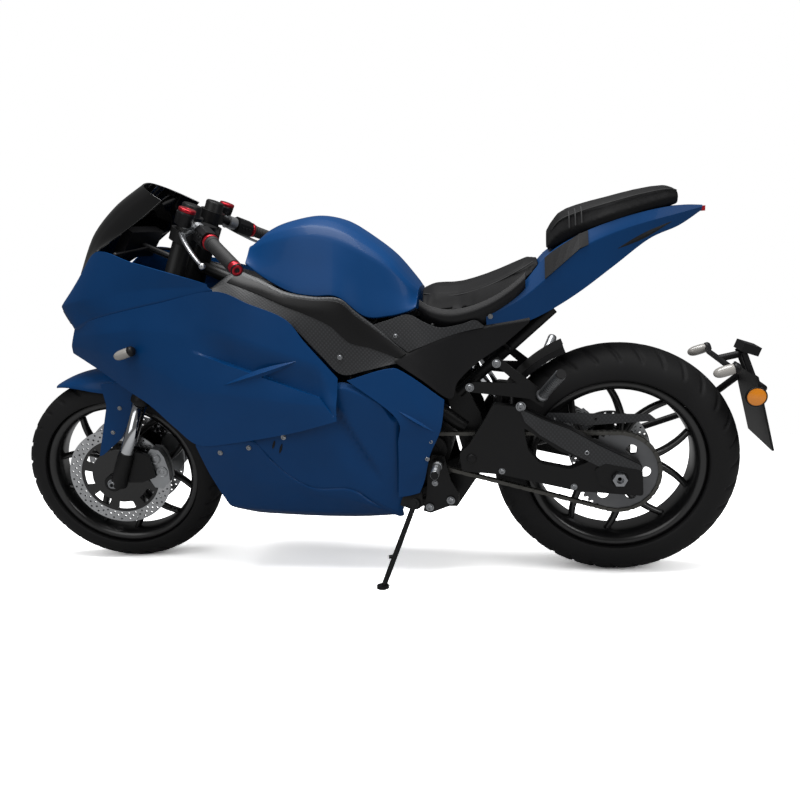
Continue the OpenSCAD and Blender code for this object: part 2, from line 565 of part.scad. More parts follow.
// The feet leave the hugger's shell at this angle round the axle
hugger_foot_a = 139.15;
hugger_foot_r = rear_tyre_r + hugger_clear + hugger_depth - 1.6;
module rear_hugger() color(black) parked() {
    wheel_at(rear_x, rear_z) rotate([0, 0, 112]) rotate_extrude(angle = 34, $fn = 96)
        translate([rear_tyre_r + hugger_clear, -hugger_half]) difference() {
            square([hugger_depth, 2 * hugger_half]);
            translate([-1, 4]) square([hugger_depth - 3, 2 * hugger_half - 8]);
        }
    both_sides() {
        bar([rear_x + hugger_foot_r * cos(hugger_foot_a), -hugger_half + 6,
            rear_z + hugger_foot_r * sin(hugger_foot_a)], [pivot_x + 102, -arm_in + 12, pivot_z + 122], 6);
        boss(pivot_x + 102, pivot_z + 122, 8, arm_in - 16, arm_in - press_gap);
    }
}
module rear_caliper() color(silver) parked() mirror([0, 1, 0]) {
    difference() {
        side_plate([[rear_x - 112, rear_z + 28], [rear_x - 122, rear_z + 84], [rear_x - 66, rear_z + 112],
            [rear_x - 36, rear_z + 84], [rear_x - 66, rear_z + 60]], 64, 106);
        wheel_at(rear_x, rear_z) translate([0, 0, rear_disc_y - 3]) cylinder(d = rear_disc_d + 12, h = 11);
    }
    side_plate([[rear_x - 100, rear_z + 34], [rear_x - 112, rear_z + 60], [rear_x - 40, rear_z + 60],
        [rear_x - 40, rear_z + 20]], 100, arm_in - press_gap);
}

// Pegs and brackets
module rider_pegs() color(black) parked() both_sides() {
    side_plate([[214, 214], [234, 208], [310, 238], [312, 264], [292, 300], [278, 366], [246, 372], [234, 340],
        [226, 262]], 118, 126);
    boss(232, rail_z, 9, plate_out + 9, 130);
    boss(290, 246, 9, plate_out + press_gap, 130);
    boss(262, 350, 15, 125, 150);
    bar([262, -149, 350], [264, -222, 352], 10);
}
module pillion_pegs() color(black) parked() both_sides() {
    side_plate([[340, 548], [356, 540], [500, 520], [530, 498], [538, 520], [520, 548], [424, 628], [408, 618],
        [470, 560], [362, 566]], 128, 136);
    boss(421, 612, 9, plate_in + 9 + rail_r + press_gap, 138);
    boss(353, 553, 9, plate_in + 9 + rail_r + press_gap, 138);
    bar([522, -136, 522], [528, -150, 530], 10);
    bar([526, -148, 528], [570, -244, 606], 12);
}
// The stand turns on a pin whose axis leans with the leg
stand_axis = unit(cross(stand_leg, [1, 0, 0]));
eye_half = 8;
pin_r = 6;
lug_t = 9;
foot_t = 8;
// Local frame at the stand's pin: x to the rear, y up the machine, z out along the pin
module at_pin() translate(stand_pivot) rotate([acos(stand_axis[2]), 0, 0]) children();
module stand_bracket() color(black) parked() {
    at_pin() translate([0, 0, -eye_half - 0.5 - lug_t]) difference() {
        linear_extrude(lug_t) polygon([[-40, -6], [-32, 30], [18, 34], [20, -8], [6, -17], [-10, -17]]);
        translate([0, 0, -1]) cylinder(r = pin_r + press_gap, h = lug_t + 2);
    }
    bar([stand_x - 14, -plate_out - 14, rail_z], stand_pivot + [-14, 22, 14], 11);
}
module side_stand() color(black) parked() {
    at_pin() {
        translate([0, 0, -eye_half]) cylinder(r = 13, h = 2 * eye_half);
        translate([0, 0, -eye_half - lug_t - 3]) cylinder(r = pin_r, h = 2 * eye_half + lug_t + 6);
    }
    bar(stand_pivot, stand_pivot + stand_leg * (1 - foot_t / norm(stand_leg)), 7);
    bar(stand_pivot + stand_leg * 0.62, stand_pivot + stand_leg * 0.62 + [-16, -4, -2], 5);
    translate(stand_foot) rotate([-lean, 0, 0]) rotate([0, nose_pitch, 0]) cylinder(r = 16, h = foot_t);
}

// Body panels
fairing_grid = [for (l = [FAIRING_LOW, FAIRING_BELT, FAIRING_SHOULDER, FAIRING_TOP]) left_row(l, 18)];
cowl_cols = 12;
cowl_grid = [for (l = [COWL_LOW, COWL_LAMP, COWL_TOP]) wrap_row(l, cowl_cols)];
cowl_left = [for (row = cowl_grid) [for (j = [cowl_cols:2 * cowl_cols]) row[j]]];
inner_grid = [for (l = [INNER_LOW, INNER_TOP]) left_row(l, 12)];
rear_grid = [for (l = [REAR_BACK, REAR_MID, REAR_FRONT]) left_row(l, 10)];
belly_left = [for (l = [BELLY_FLOOR, BELLY_EDGE, BELLY_SIDE, BELLY_TOP]) left_row(l, 16)];
belly_right = [for (l = [BELLY_TOP, BELLY_SIDE, BELLY_EDGE, BELLY_FLOOR]) right_row(l, 16)];
trim_grid = [for (l = [TRIM_LOW, TRIM_TOP]) left_row(l, 14)];
cover_grid = [for (l = [COVER_LOW, COVER_TOP]) left_row(l, 14)];
lower_grid = [for (l = [LOWER_LOW, LOWER_TOP]) left_row(l, 12)];
module side_fairing_left() color(blue) parked() panel(fairing_grid, panel_t);
module side_fairing_right() color(blue) parked() mirror([0, 1, 0]) panel(fairing_grid, panel_t);
module front_cowl() color(blue) parked() panel(cowl_grid, panel_t);
module windscreen() color(black) parked() panel([for (l = SCREEN) wrap_row(l, 8)], panel_t);
module inner_panel_left() color(blue) parked() panel(inner_grid, panel_t);
module inner_panel_right() color(blue) parked() mirror([0, 1, 0]) panel(inner_grid, panel_t);
module rear_panel_left() color(blue) parked() panel(rear_grid, panel_t);
module rear_panel_right() color(blue) parked() mirror([0, 1, 0]) panel(rear_grid, panel_t);
module belly_pan() color(blue) parked() panel(concat(belly_right, belly_left), panel_t);
module trim_panel_left() color(carbon) parked() panel(trim_grid, panel_t);
module trim_panel_right() color(carbon) parked() mirror([0, 1, 0]) panel(trim_grid, panel_t);
module side_cover_left() color(carbon) parked() panel(cover_grid, panel_t);
module side_cover_right() color(carbon) parked() mirror([0, 1, 0]) panel(cover_grid, panel_t);
module frame_cover_left() color(black) parked() panel(lower_grid, panel_t);
module frame_cover_right() color(black) parked() mirror([0, 1, 0]) panel(lower_grid, panel_t);

// Solid lofts
tank_rings = [for (j = [0:16]) let(s = along(TANK, j / 16)) ring(s[0], [[0, s[1]],
    [s[2] * 0.55, s[1] - (s[1] - s[3]) * 0.16], [s[2] * 0.85, s[1] - (s[1] - s[3]) * 0.5], [s[2], s[3]],
    [(s[2] + s[4]) / 2 + 8, (s[3] + s[5]) / 2], [s[4], s[5]], [s[4] - 12, s[5] - tank_floor],
    [0, s[5] - tank_floor]])];
module tank() color(blue) parked() loft(tank_rings);
tail_steps = 14;
function tail_at(j) = along(TAIL, j / tail_steps);
// Rows of the tail's skin: from the left lower edge over the top to the right lower edge
function tail_row(w, h, side) = [for (j = [0:tail_steps]) let(s = tail_at(j)) [s[0], side * s[w], s[h]]];
tail_left = [tail_row(5, 6, -1), tail_row(3, 4, -1), tail_row(1, 2, -1)];
module tail_cowl() color(blue) parked() panel(concat(tail_left,
    [tail_row(1, 2, 1), tail_row(3, 4, 1), tail_row(5, 6, 1)]), panel_t);
// Stays from the frame's tubes to the inside of the panels: tube, share of its length, panel, row, column
stay_r = 4;
stay_ball = 6;
function on_tube(t, s) = t[0] + (t[1] - t[0]) * s;
STAYS = [[SPAR_LOW, 0.2, fairing_grid, 2, 6],
    [DOWN_TUBE, 0.5, fairing_grid, 1, 6], [SPAR_LOW, 0.85, fairing_grid, 1, 14],
    [DOWN_TUBE, 0.88, belly_left, 2, 3], [LOW_RAIL, 0.7, belly_left, 1, 12],
    [SPAR_LOW, 0.95, inner_grid, 1, 7], [SPAR_BACK, 0.62, rear_grid, 1, 7],
    [SPAR_TOP, 0.8, trim_grid, 0, 4], [SEAT_RAIL, 0.55, cover_grid, 1, 7],
    [BACK_STAY, 0.55, lower_grid, 0, 10], [TAIL_RAIL, 0.3, tail_left, 1, 4]];
module panel_stays() color(black) parked() both_sides() for (r = STAYS) {
    foot = on_tube(r[0], r[1]) - [0, r[0][2] + stay_ball + 2 * press_gap, 0];
    tip = r[2][r[3]][r[4]] - (panel_t + stay_ball + 2 * press_gap) * outward(r[2], r[3], r[4]);
    translate(foot) sphere(r = stay_ball);
    translate(tip) sphere(r = stay_ball);
    bar(foot, tip, stay_r);
}
// Height of the tail's top at x
function tail_top(x) = lookup(x, [for (j = [0:tail_steps]) [tail_at(j)[0], tail_at(j)[2]]]);
function pad_half(s, low) = [[0, s[1]], [s[2] * 0.6, s[1] - 2], [s[2], s[1] - (s[1] - s[4]) * 0.28],
    [s[3], s[4]], [s[3] - 8, low], [0, low]];
module rider_seat() color(leather) parked() loft([for (j = [0:12]) let(s = along(SEAT, j / 12))
    ring(s[0], pad_half(s, max(s[4] - 12, tail_top(s[0]) + press_gap)))]);
pad_gap = 0.9;
module pillion_seat() color(leather) parked() loft([for (j = [0:12]) let(s = along(PILLION, j / 12))
    ring(s[0], pad_half(s, tail_top(s[0]) + pad_gap))]);
module tail_lamp() color(red) parked() translate([TAIL[7][0] + press_gap, -TAIL[7][5], TAIL[7][6] - 2])
    cube([8, 2 * TAIL[7][5], TAIL[7][2] - TAIL[7][6]]);
// Vents lie on the tail's upper flank, between its ridge and its top
vent_out = 4.4;
vent_t = 3;
module tail_vents() color(black) parked() both_sides() panel([for (c = [3, 1]) [for (x = [540:20:640])
    let(w = lookup(x, [for (r = TAIL) [r[0], r[c]]]), h = lookup(x, [for (r = TAIL) [r[0], r[c + 1]]]))
    [x, -w - vent_out, h + 2]]], vent_t);

// Lamps and cockpit
// Lamp lenses lie on the nose, between the cowl's lower edge and its lamp line
lens_t = 3;
lens_gap = 1.5;
lens_face = [for (t = [0.12, 0.5, 0.9]) [for (j = [1:4]) let(a = along(COWL_LOW, j / cowl_cols),
    b = along(COWL_LAMP, j / cowl_cols), p = a + (b - a) * t) [p[0], -p[1], p[2]]]];
module headlamps() color(clear_lens) parked() both_sides()
    panel(lifted(lens_face, lens_t + lens_gap), lens_t);
module cockpit_trim() color(black) parked() both_sides() panel([
    left_row([[-590, 131, 930], [-484, 177, 900], [-380, 198, 870], [-270, 201, 836]], 10),
    left_row([[-585, 112, 935], [-484, 150, 890], [-380, 166, 852], [-280, 170, 830]], 10)], 3);
// The pod's bracket runs forward from the head tube and carries the nose
pod_a = 170;
pod_h = 970;
module instrument_pod() color(black) parked() {
    translate([-560, 0, 960]) rotate([0, -55, 0]) translate([-40, -80, -14]) cube([80, 160, 28]);
    bar(from_steer([-pod_a, 0, pod_h]), from_steer([-head_tube_r - press_gap, 0, pod_h]), 9);
    both_sides() {
        tip = cowl_left[2][6] - (panel_t + stay_ball + 2 * press_gap) * outward(cowl_left, 2, 6);
        translate(tip) sphere(r = stay_ball);
        bar(from_steer([-pod_a + 20, 0, pod_h]), tip, stay_r);
    }
}
INDICATORS = [[-530, 208, 682, 190.4], [949, 130, 576, 90.8]];
module indicators() color(amber) parked() both_sides() for (p = INDICATORS) {
    translate([p[0], -p[1], p[2]]) rotate([0, 90, 0]) translate([0, 0, -26]) cylinder(r = 12, h = 52);
    bar([p[0] + 10, -p[1], p[2]], [p[0] + 16, -p[3], p[2] + 2], 6);
}
reflector_x = 1026;
reflector_z = 505;
reflector_in = 100;
module at_plate() translate(on_plate([0, 0, 0])) rotate([0, -plate_tilt, 0]) children();
module plate_hanger() color(black) parked() {
    mirror([0, 1, 0]) {
        bar([rear_x + 20, -arm_half - 16, rear_z + 10], [940, -arm_half - 10, 400], 9);
        translate([940, -arm_half - 10, 400]) sphere(r = 11);
        bar([940, -arm_half - 10, 400], [1046, -84, 520], 9);
        translate([1046, -84, 520]) sphere(r = 11);
        side_plate([[rear_x - 14, rear_z - 6], [rear_x + 40, rear_z - 6], [rear_x + 40, rear_z + 22],
            [rear_x - 14, rear_z + 22]], arm_half + 9 + press_gap, arm_half + 16);
    }
    bar([1046, -84, 520], [1046, 84, 520], 9);
    both_sides() bar([1016, -20, 598], [1046, -20, 520], 8);
    bar([965, -90, 578], [965, 90, 578], 7);
    bar([965, 0, 578], [1022, 0, 590], 9);
    translate([1028, 0, 604]) rotate([0, 20, 0]) translate([-18, -32, -10]) cube([42, 64, 22]);
    at_plate() translate([-3, -92, -108]) cube([5, 184, 190]);
    bar([1046, -82, 520], [reflector_x, -82, reflector_z], 6);
    boss(reflector_x, reflector_z, 8, 78, reflector_in - press_gap);
}
module reflectors() parked() {
    color(amber) boss(reflector_x, reflector_z, 24, reflector_in, reflector_in + 8);
    color(red) at_plate() translate([2 + press_gap, -22, -80]) cube([7, 44, 40]);
}

// Front end
caliper_out = 84;
module fork_legs() color(silver) parked() turned() both_sides() translate([leg_a, -fork_half, 0]) {
    difference() {
        union() {
            translate([0, 0, tube_low_h]) cylinder(r = fork_tube_r, h = leg_top_h - tube_low_h);
            translate([0, 0, axle_h - 20]) cylinder(r = slider_r, h = tube_low_h - axle_h + 21);
            translate([axle_a - leg_a, 15, axle_h]) rotate([90, 0, 0]) cylinder(r = 25, h = 30);
            translate([-2, 0, axle_h]) cylinder(r = slider_r + 4, h = clamp_low_h - axle_h);
            translate([axle_a - leg_a, fork_half - caliper_out - press_gap, axle_h]) rotate([0, -rake, 0])
                rotate([90, 0, 0]) linear_extrude(14)
                polygon([[26, 30], [60, 92], [116, 70], [122, 6], [40, -6]]);
        }
        translate([axle_a - leg_a, 30, axle_h]) rotate([90, 0, 0]) cylinder(r = axle_r + press_gap, h = 60);
    }
}
module yoke(h, r) translate([0, 0, h]) difference() {
    union() {
        linear_extrude(yoke_t) polygon([[leg_a - 30, -fork_half], [leg_a - 30, fork_half],
            [leg_a + 30, fork_half], [26, 26], [26, -26], [leg_a + 30, -fork_half]]);
        for (s = [-1, 1]) translate([leg_a, s * fork_half, 0]) cylinder(r = r + 11, h = yoke_t);
    }
    for (s = [-1, 1]) translate([leg_a, s * fork_half, -1]) cylinder(r = r + press_gap, h = yoke_t + 2);
}
module fork_yokes() color(black) parked() turned() {
    yoke(lower_yoke_h, fork_tube_r);
    yoke(upper_yoke_h, fork_tube_r);
    translate([0, 0, lower_yoke_h]) cylinder(r = stem_r, h = upper_yoke_h + yoke_t + 16 - lower_yoke_h);
    translate([0, 0, upper_yoke_h + yoke_t]) cylinder(r = 22, h = 16);
}
// Bars run from their clamps outward, back and down
bar_r = 11;
module handlebars() color(black) parked() turned() both_sides() {
    difference() {
        union() {
            translate([leg_a, -fork_half, bar_clamp_h - 16]) cylinder(r = fork_tube_r + 9, h = 30);
            bar(on_bar(fork_tube_r + 4), on_bar(bar_len), bar_r);
        }
        translate([leg_a, -fork_half, bar_clamp_h - 40]) cylinder(r = fork_tube_r + press_gap, h = 80);
    }
    bar(on_bar(bar_len - 1), on_bar(bar_len + bar_end_len), bar_end_r);
}
module grips() color(black) parked() turned() both_sides() difference() {
    union() {
        bar(on_bar(bar_len - 128), on_bar(bar_len - 2), 17);
        bar(on_bar(bar_len - 132), on_bar(bar_len - 124), 20);
    }
    bar(on_bar(bar_len - 140), on_bar(bar_len + 10), bar_r + press_gap);
}
module bar_controls() color(silver) parked() turned() both_sides() {
    difference() {
        bar(on_bar(86), on_bar(134), 22);
        bar(on_bar(80), on_bar(140), bar_r + press_gap);
    }
    difference() {
        bar(on_bar(56), on_bar(82), 18);
        bar(on_bar(50), on_bar(90), bar_r + press_gap);
    }
    bar(on_bar(70) + [-21, 0, 2], on_bar(102) + [-56, 0, 8], 8);
    translate(on_bar(106) + [-58, 0, 4]) cylinder(r = 21, h = 44);
    bar(on_bar(70) + [-21, 0, -4], on_bar(120) + [-62, 0, -14], 8);
    bar(on_bar(118) + [-62, 0, -14], on_bar(bar_len - 10) + [-66, 0, -28], 6);
    translate(on_bar(bar_len - 10) + [-66, 0, -28]) sphere(r = 9);
}
fender_r = front_tyre_r + 18;
module front_fender() color(blue) parked() {
    steered_wheel() rotate([0, 0, 50]) rotate_extrude(angle = 69, $fn = 96) difference() {
        translate([fender_r - 30, -68]) square([34, 136]);
        translate([fender_r - 31, -64]) square([31, 128]);
    }
    turned() both_sides() translate([axle_a, -67, axle_h]) rotate([0, -rake, 0]) rotate([90, 0, 0])
        linear_extrude(fork_half - fork_tube_r - press_gap - 67)
        polygon([[10, 305], [165, 288], [118, 200], [60, 100], [16, 62], [-14, 80], [-4, 240]]);
}
// The calipers grip the discs' rims
grip_r = front_disc_d / 2;
module front_calipers() color(silver) parked() turned() both_sides()
    translate([axle_a, 0, axle_h]) rotate([0, -rake, 0]) difference() {
        translate([0, -40, 0]) rotate([90, 0, 0]) linear_extrude(caliper_out - 40)
            polygon([[grip_r - 62, 50], [grip_r - 32, 92], [grip_r, 70], [grip_r + 8, -12],
                [grip_r - 20, -40], [grip_r - 46, -30]]);
        rotate([90, 0, 0]) translate([0, 0, front_disc_y - 3]) cylinder(d = front_disc_d + 14, h = 11);
    }
module front_axle() color(silver) parked() turned() translate([axle_a, 0, axle_h]) rotate([90, 0, 0])
    difference() {
        translate([0, 0, -fork_half - 17]) cylinder(r = axle_r, h = 2 * fork_half + 34);
        translate([0, 0, -fork_half - 18]) cylinder(r = axle_bore, h = 2 * fork_half + 36);
    }

frame();
battery_pack();
drive_motor();
front_cowl();
headlamps();
windscreen();
cockpit_trim();
instrument_pod();
side_fairing_left();
side_fairing_right();
inner_panel_left();
inner_panel_right();
rear_panel_left();
rear_panel_right();
belly_pan();
trim_panel_left();
trim_panel_right();
side_cover_left();
side_cover_right();
frame_cover_left();
frame_cover_right();
tank();
rider_seat();
pillion_seat();
tail_cowl();
tail_lamp();
tail_vents();
indicators();
swingarm();
rear_axle();
chain();
chain_guard();
rear_hugger();
rear_shock();
rear_caliper();
rider_pegs();
pillion_pegs();
stand_bracket();
plate_hanger();
reflectors();
fork_legs();
fork_yokes();
handlebars();
grips();
bar_controls();
front_fender();
front_calipers();
front_axle();
front_tyre();
front_rim();
front_discs();
rear_tyre();
rear_rim();
rear_disc();
rear_sprocket();
side_stand();
panel_stays();
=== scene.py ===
# %% [markdown]
# # An electric sport motorcycle, dressed for the studio
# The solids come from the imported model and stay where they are. This script gives each of them a
# finish, and puts smoother or finer pieces in place of those that are plain in the solids: painted
# shells, tyres with tread, drilled discs, a chain of links, padded seats.

# %%
import json
from functools import partial
import bpy
import numpy as np
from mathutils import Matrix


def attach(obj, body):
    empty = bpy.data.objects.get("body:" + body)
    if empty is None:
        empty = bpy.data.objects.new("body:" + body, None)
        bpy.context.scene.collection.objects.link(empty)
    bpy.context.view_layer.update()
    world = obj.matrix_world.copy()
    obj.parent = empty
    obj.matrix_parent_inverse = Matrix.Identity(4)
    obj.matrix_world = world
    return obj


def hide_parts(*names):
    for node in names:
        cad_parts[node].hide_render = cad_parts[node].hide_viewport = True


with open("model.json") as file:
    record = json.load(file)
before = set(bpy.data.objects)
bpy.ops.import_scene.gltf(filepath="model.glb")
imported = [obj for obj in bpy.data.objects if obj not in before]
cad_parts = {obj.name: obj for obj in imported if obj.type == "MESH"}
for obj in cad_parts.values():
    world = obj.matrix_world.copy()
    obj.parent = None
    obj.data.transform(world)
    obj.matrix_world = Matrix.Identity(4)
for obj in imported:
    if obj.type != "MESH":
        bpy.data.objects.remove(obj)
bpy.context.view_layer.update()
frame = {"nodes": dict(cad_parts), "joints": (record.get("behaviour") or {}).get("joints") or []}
scene = bpy.context.scene

# %% [markdown]
# ## The machine's own upright frame
# The parked machine leans on its stand, so pieces are drawn upright in millimetres (nose to -x, left
# to -y, road at z = 0) and then leaned. The lean comes from the joints: the rear axle gives the way
# across, and the steering axis with its rake gives the other two.

# %%
RAKE = np.radians(25)
TURN = np.radians(9)
REAR_AXLE = np.array([713.0, 0, 314])
FRONT_AXLE = np.array([-713.0, 0, 293])
HEAD_X = -808.0
joint = {j["name"]: j for j in frame["joints"]}
across = np.array(joint["rear_wheel"]["axis"])
up_steer = np.array(joint["steering"]["axis"])
ahead = np.cross(across, up_steer)
LEANED = np.stack([np.cos(RAKE) * ahead + np.sin(RAKE) * up_steer, across,
                   np.cos(RAKE) * up_steer - np.sin(RAKE) * ahead], 1)
ORIGIN = np.array(joint["rear_wheel"]["pos_m"]) - LEANED @ (REAR_AXLE / 1000)


def parked(points):
    """Upright millimetres to leaned metres: turn by the lean, then move to the stored origin."""
    return np.asarray(points, float) / 1000 @ LEANED.T + ORIGIN


def turn_y(points, angle):
    """Points turned about y by an angle, positive from z towards x."""
    p = np.asarray(points, float)
    c, s = np.cos(angle), np.sin(angle)
    return np.stack([p[..., 0] * c + p[..., 2] * s, p[..., 1], p[..., 2] * c - p[..., 0] * s], -1)


def turn_z(points, angle):
    """Points turned about z by an angle, anticlockwise seen from above."""
    p = np.asarray(points, float)
    c, s = np.cos(angle), np.sin(angle)
    return np.stack([p[..., 0] * c - p[..., 1] * s, p[..., 0] * s + p[..., 1] * c, p[..., 2]], -1)


def steered(points):
    """Points of the steering frame (behind the axis, to the right, up the axis) with the bars turned."""
    return turn_y(turn_z(points, TURN), RAKE) + [HEAD_X, 0, 0]


def to_steering(points):
    """Upright points with the bars straight, written in the steering frame."""
    return turn_y(np.asarray(points, float) - [HEAD_X, 0, 0], -RAKE)


def straight_front(points):
    """Upright points drawn with the bars straight, then turned with them."""
    return steered(to_steering(points))


print("machine leans", round(float(np.degrees(np.arcsin(across[2]))), 2), "degrees")

# %% [markdown]
# ## Meshes
# Every new piece is one mesh object at the origin. A surface is a grid of points; a shell is a grid
# and its copy moved inward by the wall; a turned piece is a profile swept round an axis.

# %%
SIDES = ((-1, "left"), (1, "right"))
MIRROR = np.array([1, -1, 1])
SHARP_EDGE = np.radians(38)
# The radius at which a turned profile ends on its axis.
AXIS = 1e-4


def mesh_piece(name, points, faces, material, body, smooth=True, replaces=(), slot=None, bevel=0.0):
    """One object from parked points in metres and faces; rides on a body and may replace solids."""
    mesh = bpy.data.meshes.new(name)
    mesh.from_pydata(np.asarray(points, float).tolist(), [], [tuple(int(i) for i in f) for f in faces])
    mesh.validate()
    mesh.update()
    mesh.polygons.foreach_set("use_smooth", np.full(len(mesh.polygons), smooth))
    piece = bpy.data.objects.new(name, mesh)
    scene.collection.objects.link(piece)
    mesh.materials.append(material)
    if bevel:
        edge = piece.modifiers.new("rounded_edges", "BEVEL")
        edge.width, edge.segments, edge.limit_method = bevel / 1000, 2, "ANGLE"
        edge.angle_limit = SHARP_EDGE
        edge.harden_normals = True
    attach(piece, body)
    if replaces:
        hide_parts(*replaces)
    return piece


def on_chassis(name, points, faces, look, slot, **more):
    """A piece of the standing machine, from upright points."""
    return mesh_piece(name, parked(points), faces, LOOK[look], "chassis", slot=slot, **more)


def on_steering(name, points, faces, look, slot, **more):
    """A piece that turns with the bars, from points of the steering frame."""
    return mesh_piece(name, parked(steered(points)), faces, LOOK[look], "steering", slot=slot, **more)


def on_front_wheel(name, points, faces, look, slot, **more):
    """A piece of the front wheel, from points about its axle."""
    return mesh_piece(name, front_place(points), faces, LOOK[look], "front_wheel", slot=slot, **more)


def on_rear_wheel(name, points, faces, look, slot, **more):
    """A piece of the rear wheel, from points about its axle."""
    return mesh_piece(name, rear_place(points), faces, LOOK[look], "rear_wheel", slot=slot, **more)


def front_place(points):
    """Points about the front axle, x back and z up, turned with the bars and leaned."""
    return parked(straight_front(np.asarray(points) + FRONT_AXLE))


def rear_place(points):
    """Points about the rear axle, leaned."""
    return parked(np.asarray(points) + REAR_AXLE)


def facing(faces, side):
    """Faces of a piece drawn for the left side, turned round for its mirrored right twin."""
    return [face[::-1] for face in faces] if side > 0 else faces


def curve(knots, n):
    """A smooth line through knots: each stretch blends four neighbours by a cubic (Catmull-Rom)."""
    k = np.asarray(knots, float)
    last = len(k) - 1
    s = np.linspace(0, last, n)
    i = np.minimum(s.astype(int), last - 1)
    t = (s - i).reshape([-1] + [1] * (k.ndim - 1))
    a, b, c, d = k[np.maximum(i - 1, 0)], k[i], k[i + 1], k[np.minimum(i + 2, last)]
    bend = 2 * a - 5 * b + 4 * c - d
    twist = 3 * b - a - 3 * c + d
    return 0.5 * (2 * b + (c - a) * t + bend * t ** 2 + twist * t ** 3)


def straight(knots, n):
    """A line of straight stretches through knots, n points in all."""
    k = np.asarray(knots, float)
    s = np.linspace(0, len(k) - 1, n)
    i = np.minimum(s.astype(int), len(k) - 2)
    t = (s - i).reshape([-1] + [1] * (k.ndim - 1))
    return k[i] * (1 - t) + k[i + 1] * t


def surface(lines, nu, nv, crease=0.5):
    """A grid through lines: smooth along them, and across them a mix of smooth and straight by crease."""
    rows = np.array([curve(line, nu) for line in lines])
    return (1 - crease) * curve(rows, nv) + crease * straight(rows, nv)


def left(lines):
    """Tables give half widths, so the left side has them negative."""
    return [np.asarray(line, float) * MIRROR for line in lines]


def normals(grid):
    """Unit outward direction at each grid point: cross product of the two grid directions."""
    n = np.cross(np.gradient(grid, axis=1), np.gradient(grid, axis=0))
    return n / np.maximum(np.linalg.norm(n, axis=-1, keepdims=True), 1e-9)


def grid_faces(rows, cols, start=0, flip=False, wrap=False):
    """Quads of a grid of rows by cols points; wrap joins the last column to the first."""
    i, j = np.meshgrid(np.arange(rows - 1), np.arange(cols if wrap else cols - 1), indexing="ij")
    k = (j + 1) % cols
    corners = [i * cols + j, (i + 1) * cols + j, (i + 1) * cols + k, i * cols + k]
    quads = np.stack(corners, -1).reshape(-1, 4)
    return (quads[:, ::-1] if flip else quads) + start


def shell_mesh(grid, wall):
    """A closed skin: outer grid, inner grid moved in by the wall, and a strip of quads round the rim."""
    rows, cols = grid.shape[:2]
    inner = grid - wall * normals(grid)
    points = np.concatenate([grid.reshape(-1, 3), inner.reshape(-1, 3)])
    size = rows * cols
    last = (rows - 1) * cols
    ring = np.concatenate([np.arange(cols), np.arange(1, rows) * cols + cols - 1,
                           last + np.arange(cols - 2, -1, -1), np.arange(rows - 2, 0, -1) * cols])
    following = np.roll(ring, -1)
    rim = np.stack([ring, following, following + size, ring + size], -1)
    return points, np.concatenate([grid_faces(rows, cols), grid_faces(rows, cols, size, flip=True), rim])


def shell(name, grid, wall, look, slot, replaces=(), mirror=False, bevel=1.2):
    """A moulded panel from an upright grid; mirror gives the right side's twin."""
    points, faces = shell_mesh(grid, wall)
    if mirror:
        points = points * MIRROR
        faces = faces[:, ::-1]
    return on_chassis(name, points, faces, look, slot, replaces=replaces, bevel=bevel)


def both(name, grid, wall, look, slot, node="", **more):
    """A left panel and its mirrored right twin; {} in the replaced node's name stands for the side."""
    for side, word in SIDES:
        replaced = (node.format(word),) if node else ()
        shell(f"{name}_{word}", grid, wall, look, slot, replaces=replaced, mirror=side > 0, **more)


def join(*meshes):
    """Several (points, faces) sets as one."""
    points, faces, n = [], [], 0
    for p, f in meshes:
        p = np.asarray(p, float).reshape(-1, 3)
        points.append(p)
        faces += [tuple(int(i) + n for i in face) for face in f]
        n += len(p)
    return np.concatenate(points), faces


def turned(profile, steps=48):
    """A profile of (radius, height) pairs swept round z; ends on the axis close themselves."""
    pr = np.asarray(profile, float)
    a = np.linspace(0, 2 * np.pi, steps, endpoint=False)
    height = np.repeat(pr[:, 1:], steps, 1)
    grid = np.stack([pr[:, :1] * np.cos(a), pr[:, :1] * np.sin(a), height], -1)
    return grid.reshape(-1, 3), grid_faces(len(pr), steps, wrap=True, flip=True)


def aim(points, start, end):
    """Points drawn along z moved so that z = 0 lies at start and z runs towards end."""
    z = np.asarray(end, float) - np.asarray(start, float)
    z = z / np.linalg.norm(z)
    x = np.cross([0, 0, 1.0], z) if abs(z[2]) < 0.95 else np.cross([0, 1.0, 0], z)
    x = x / np.linalg.norm(x)
    return np.asarray(points) @ np.stack([x, np.cross(z, x), z]) + np.asarray(start, float)


def rod(start, end, r, steps=24, chamfer=0.8):
    """A round bar between two points with small chamfers at its ends."""
    length = float(np.linalg.norm(np.asarray(end, float) - np.asarray(start, float)))
    c = min(chamfer, r * 0.4)
    profile = [(AXIS, 0), (r - c, 0), (r, c), (r, length - c), (r - c, length), (AXIS, length)]
    points, faces = turned(profile, steps)
    return aim(points, start, end), faces


def sweep(path, radii, steps=16, flat=1.0):
    """A tube along a path: at each point a ring of its radius, flattened along the path's normal."""
    p = np.asarray(path, float)
    r = np.broadcast_to(np.asarray(radii, float), len(p))
    t = np.gradient(p, axis=0)
    t = t / np.linalg.norm(t, axis=1, keepdims=True)
    ref = np.array([0, 0, 1.0]) if abs(t[:, 2]).mean() < 0.9 else np.array([0, 1.0, 0])
    u = np.cross(t, ref)
    u = u / np.linalg.norm(u, axis=1, keepdims=True)
    v = np.cross(t, u)
    a = np.linspace(0, 2 * np.pi, steps, endpoint=False)
    ring = np.cos(a)[None, :, None] * u[:, None] + flat * np.sin(a)[None, :, None] * v[:, None]
    grid = p[:, None] + r[:, None, None] * ring
    faces = [tuple(f) for f in grid_faces(len(p), steps, wrap=True)]
    last = (len(p) - 1) * steps
    ends = [tuple(range(steps)), tuple(range(last + steps - 1, last - 1, -1))]
    return grid.reshape(-1, 3), faces + ends


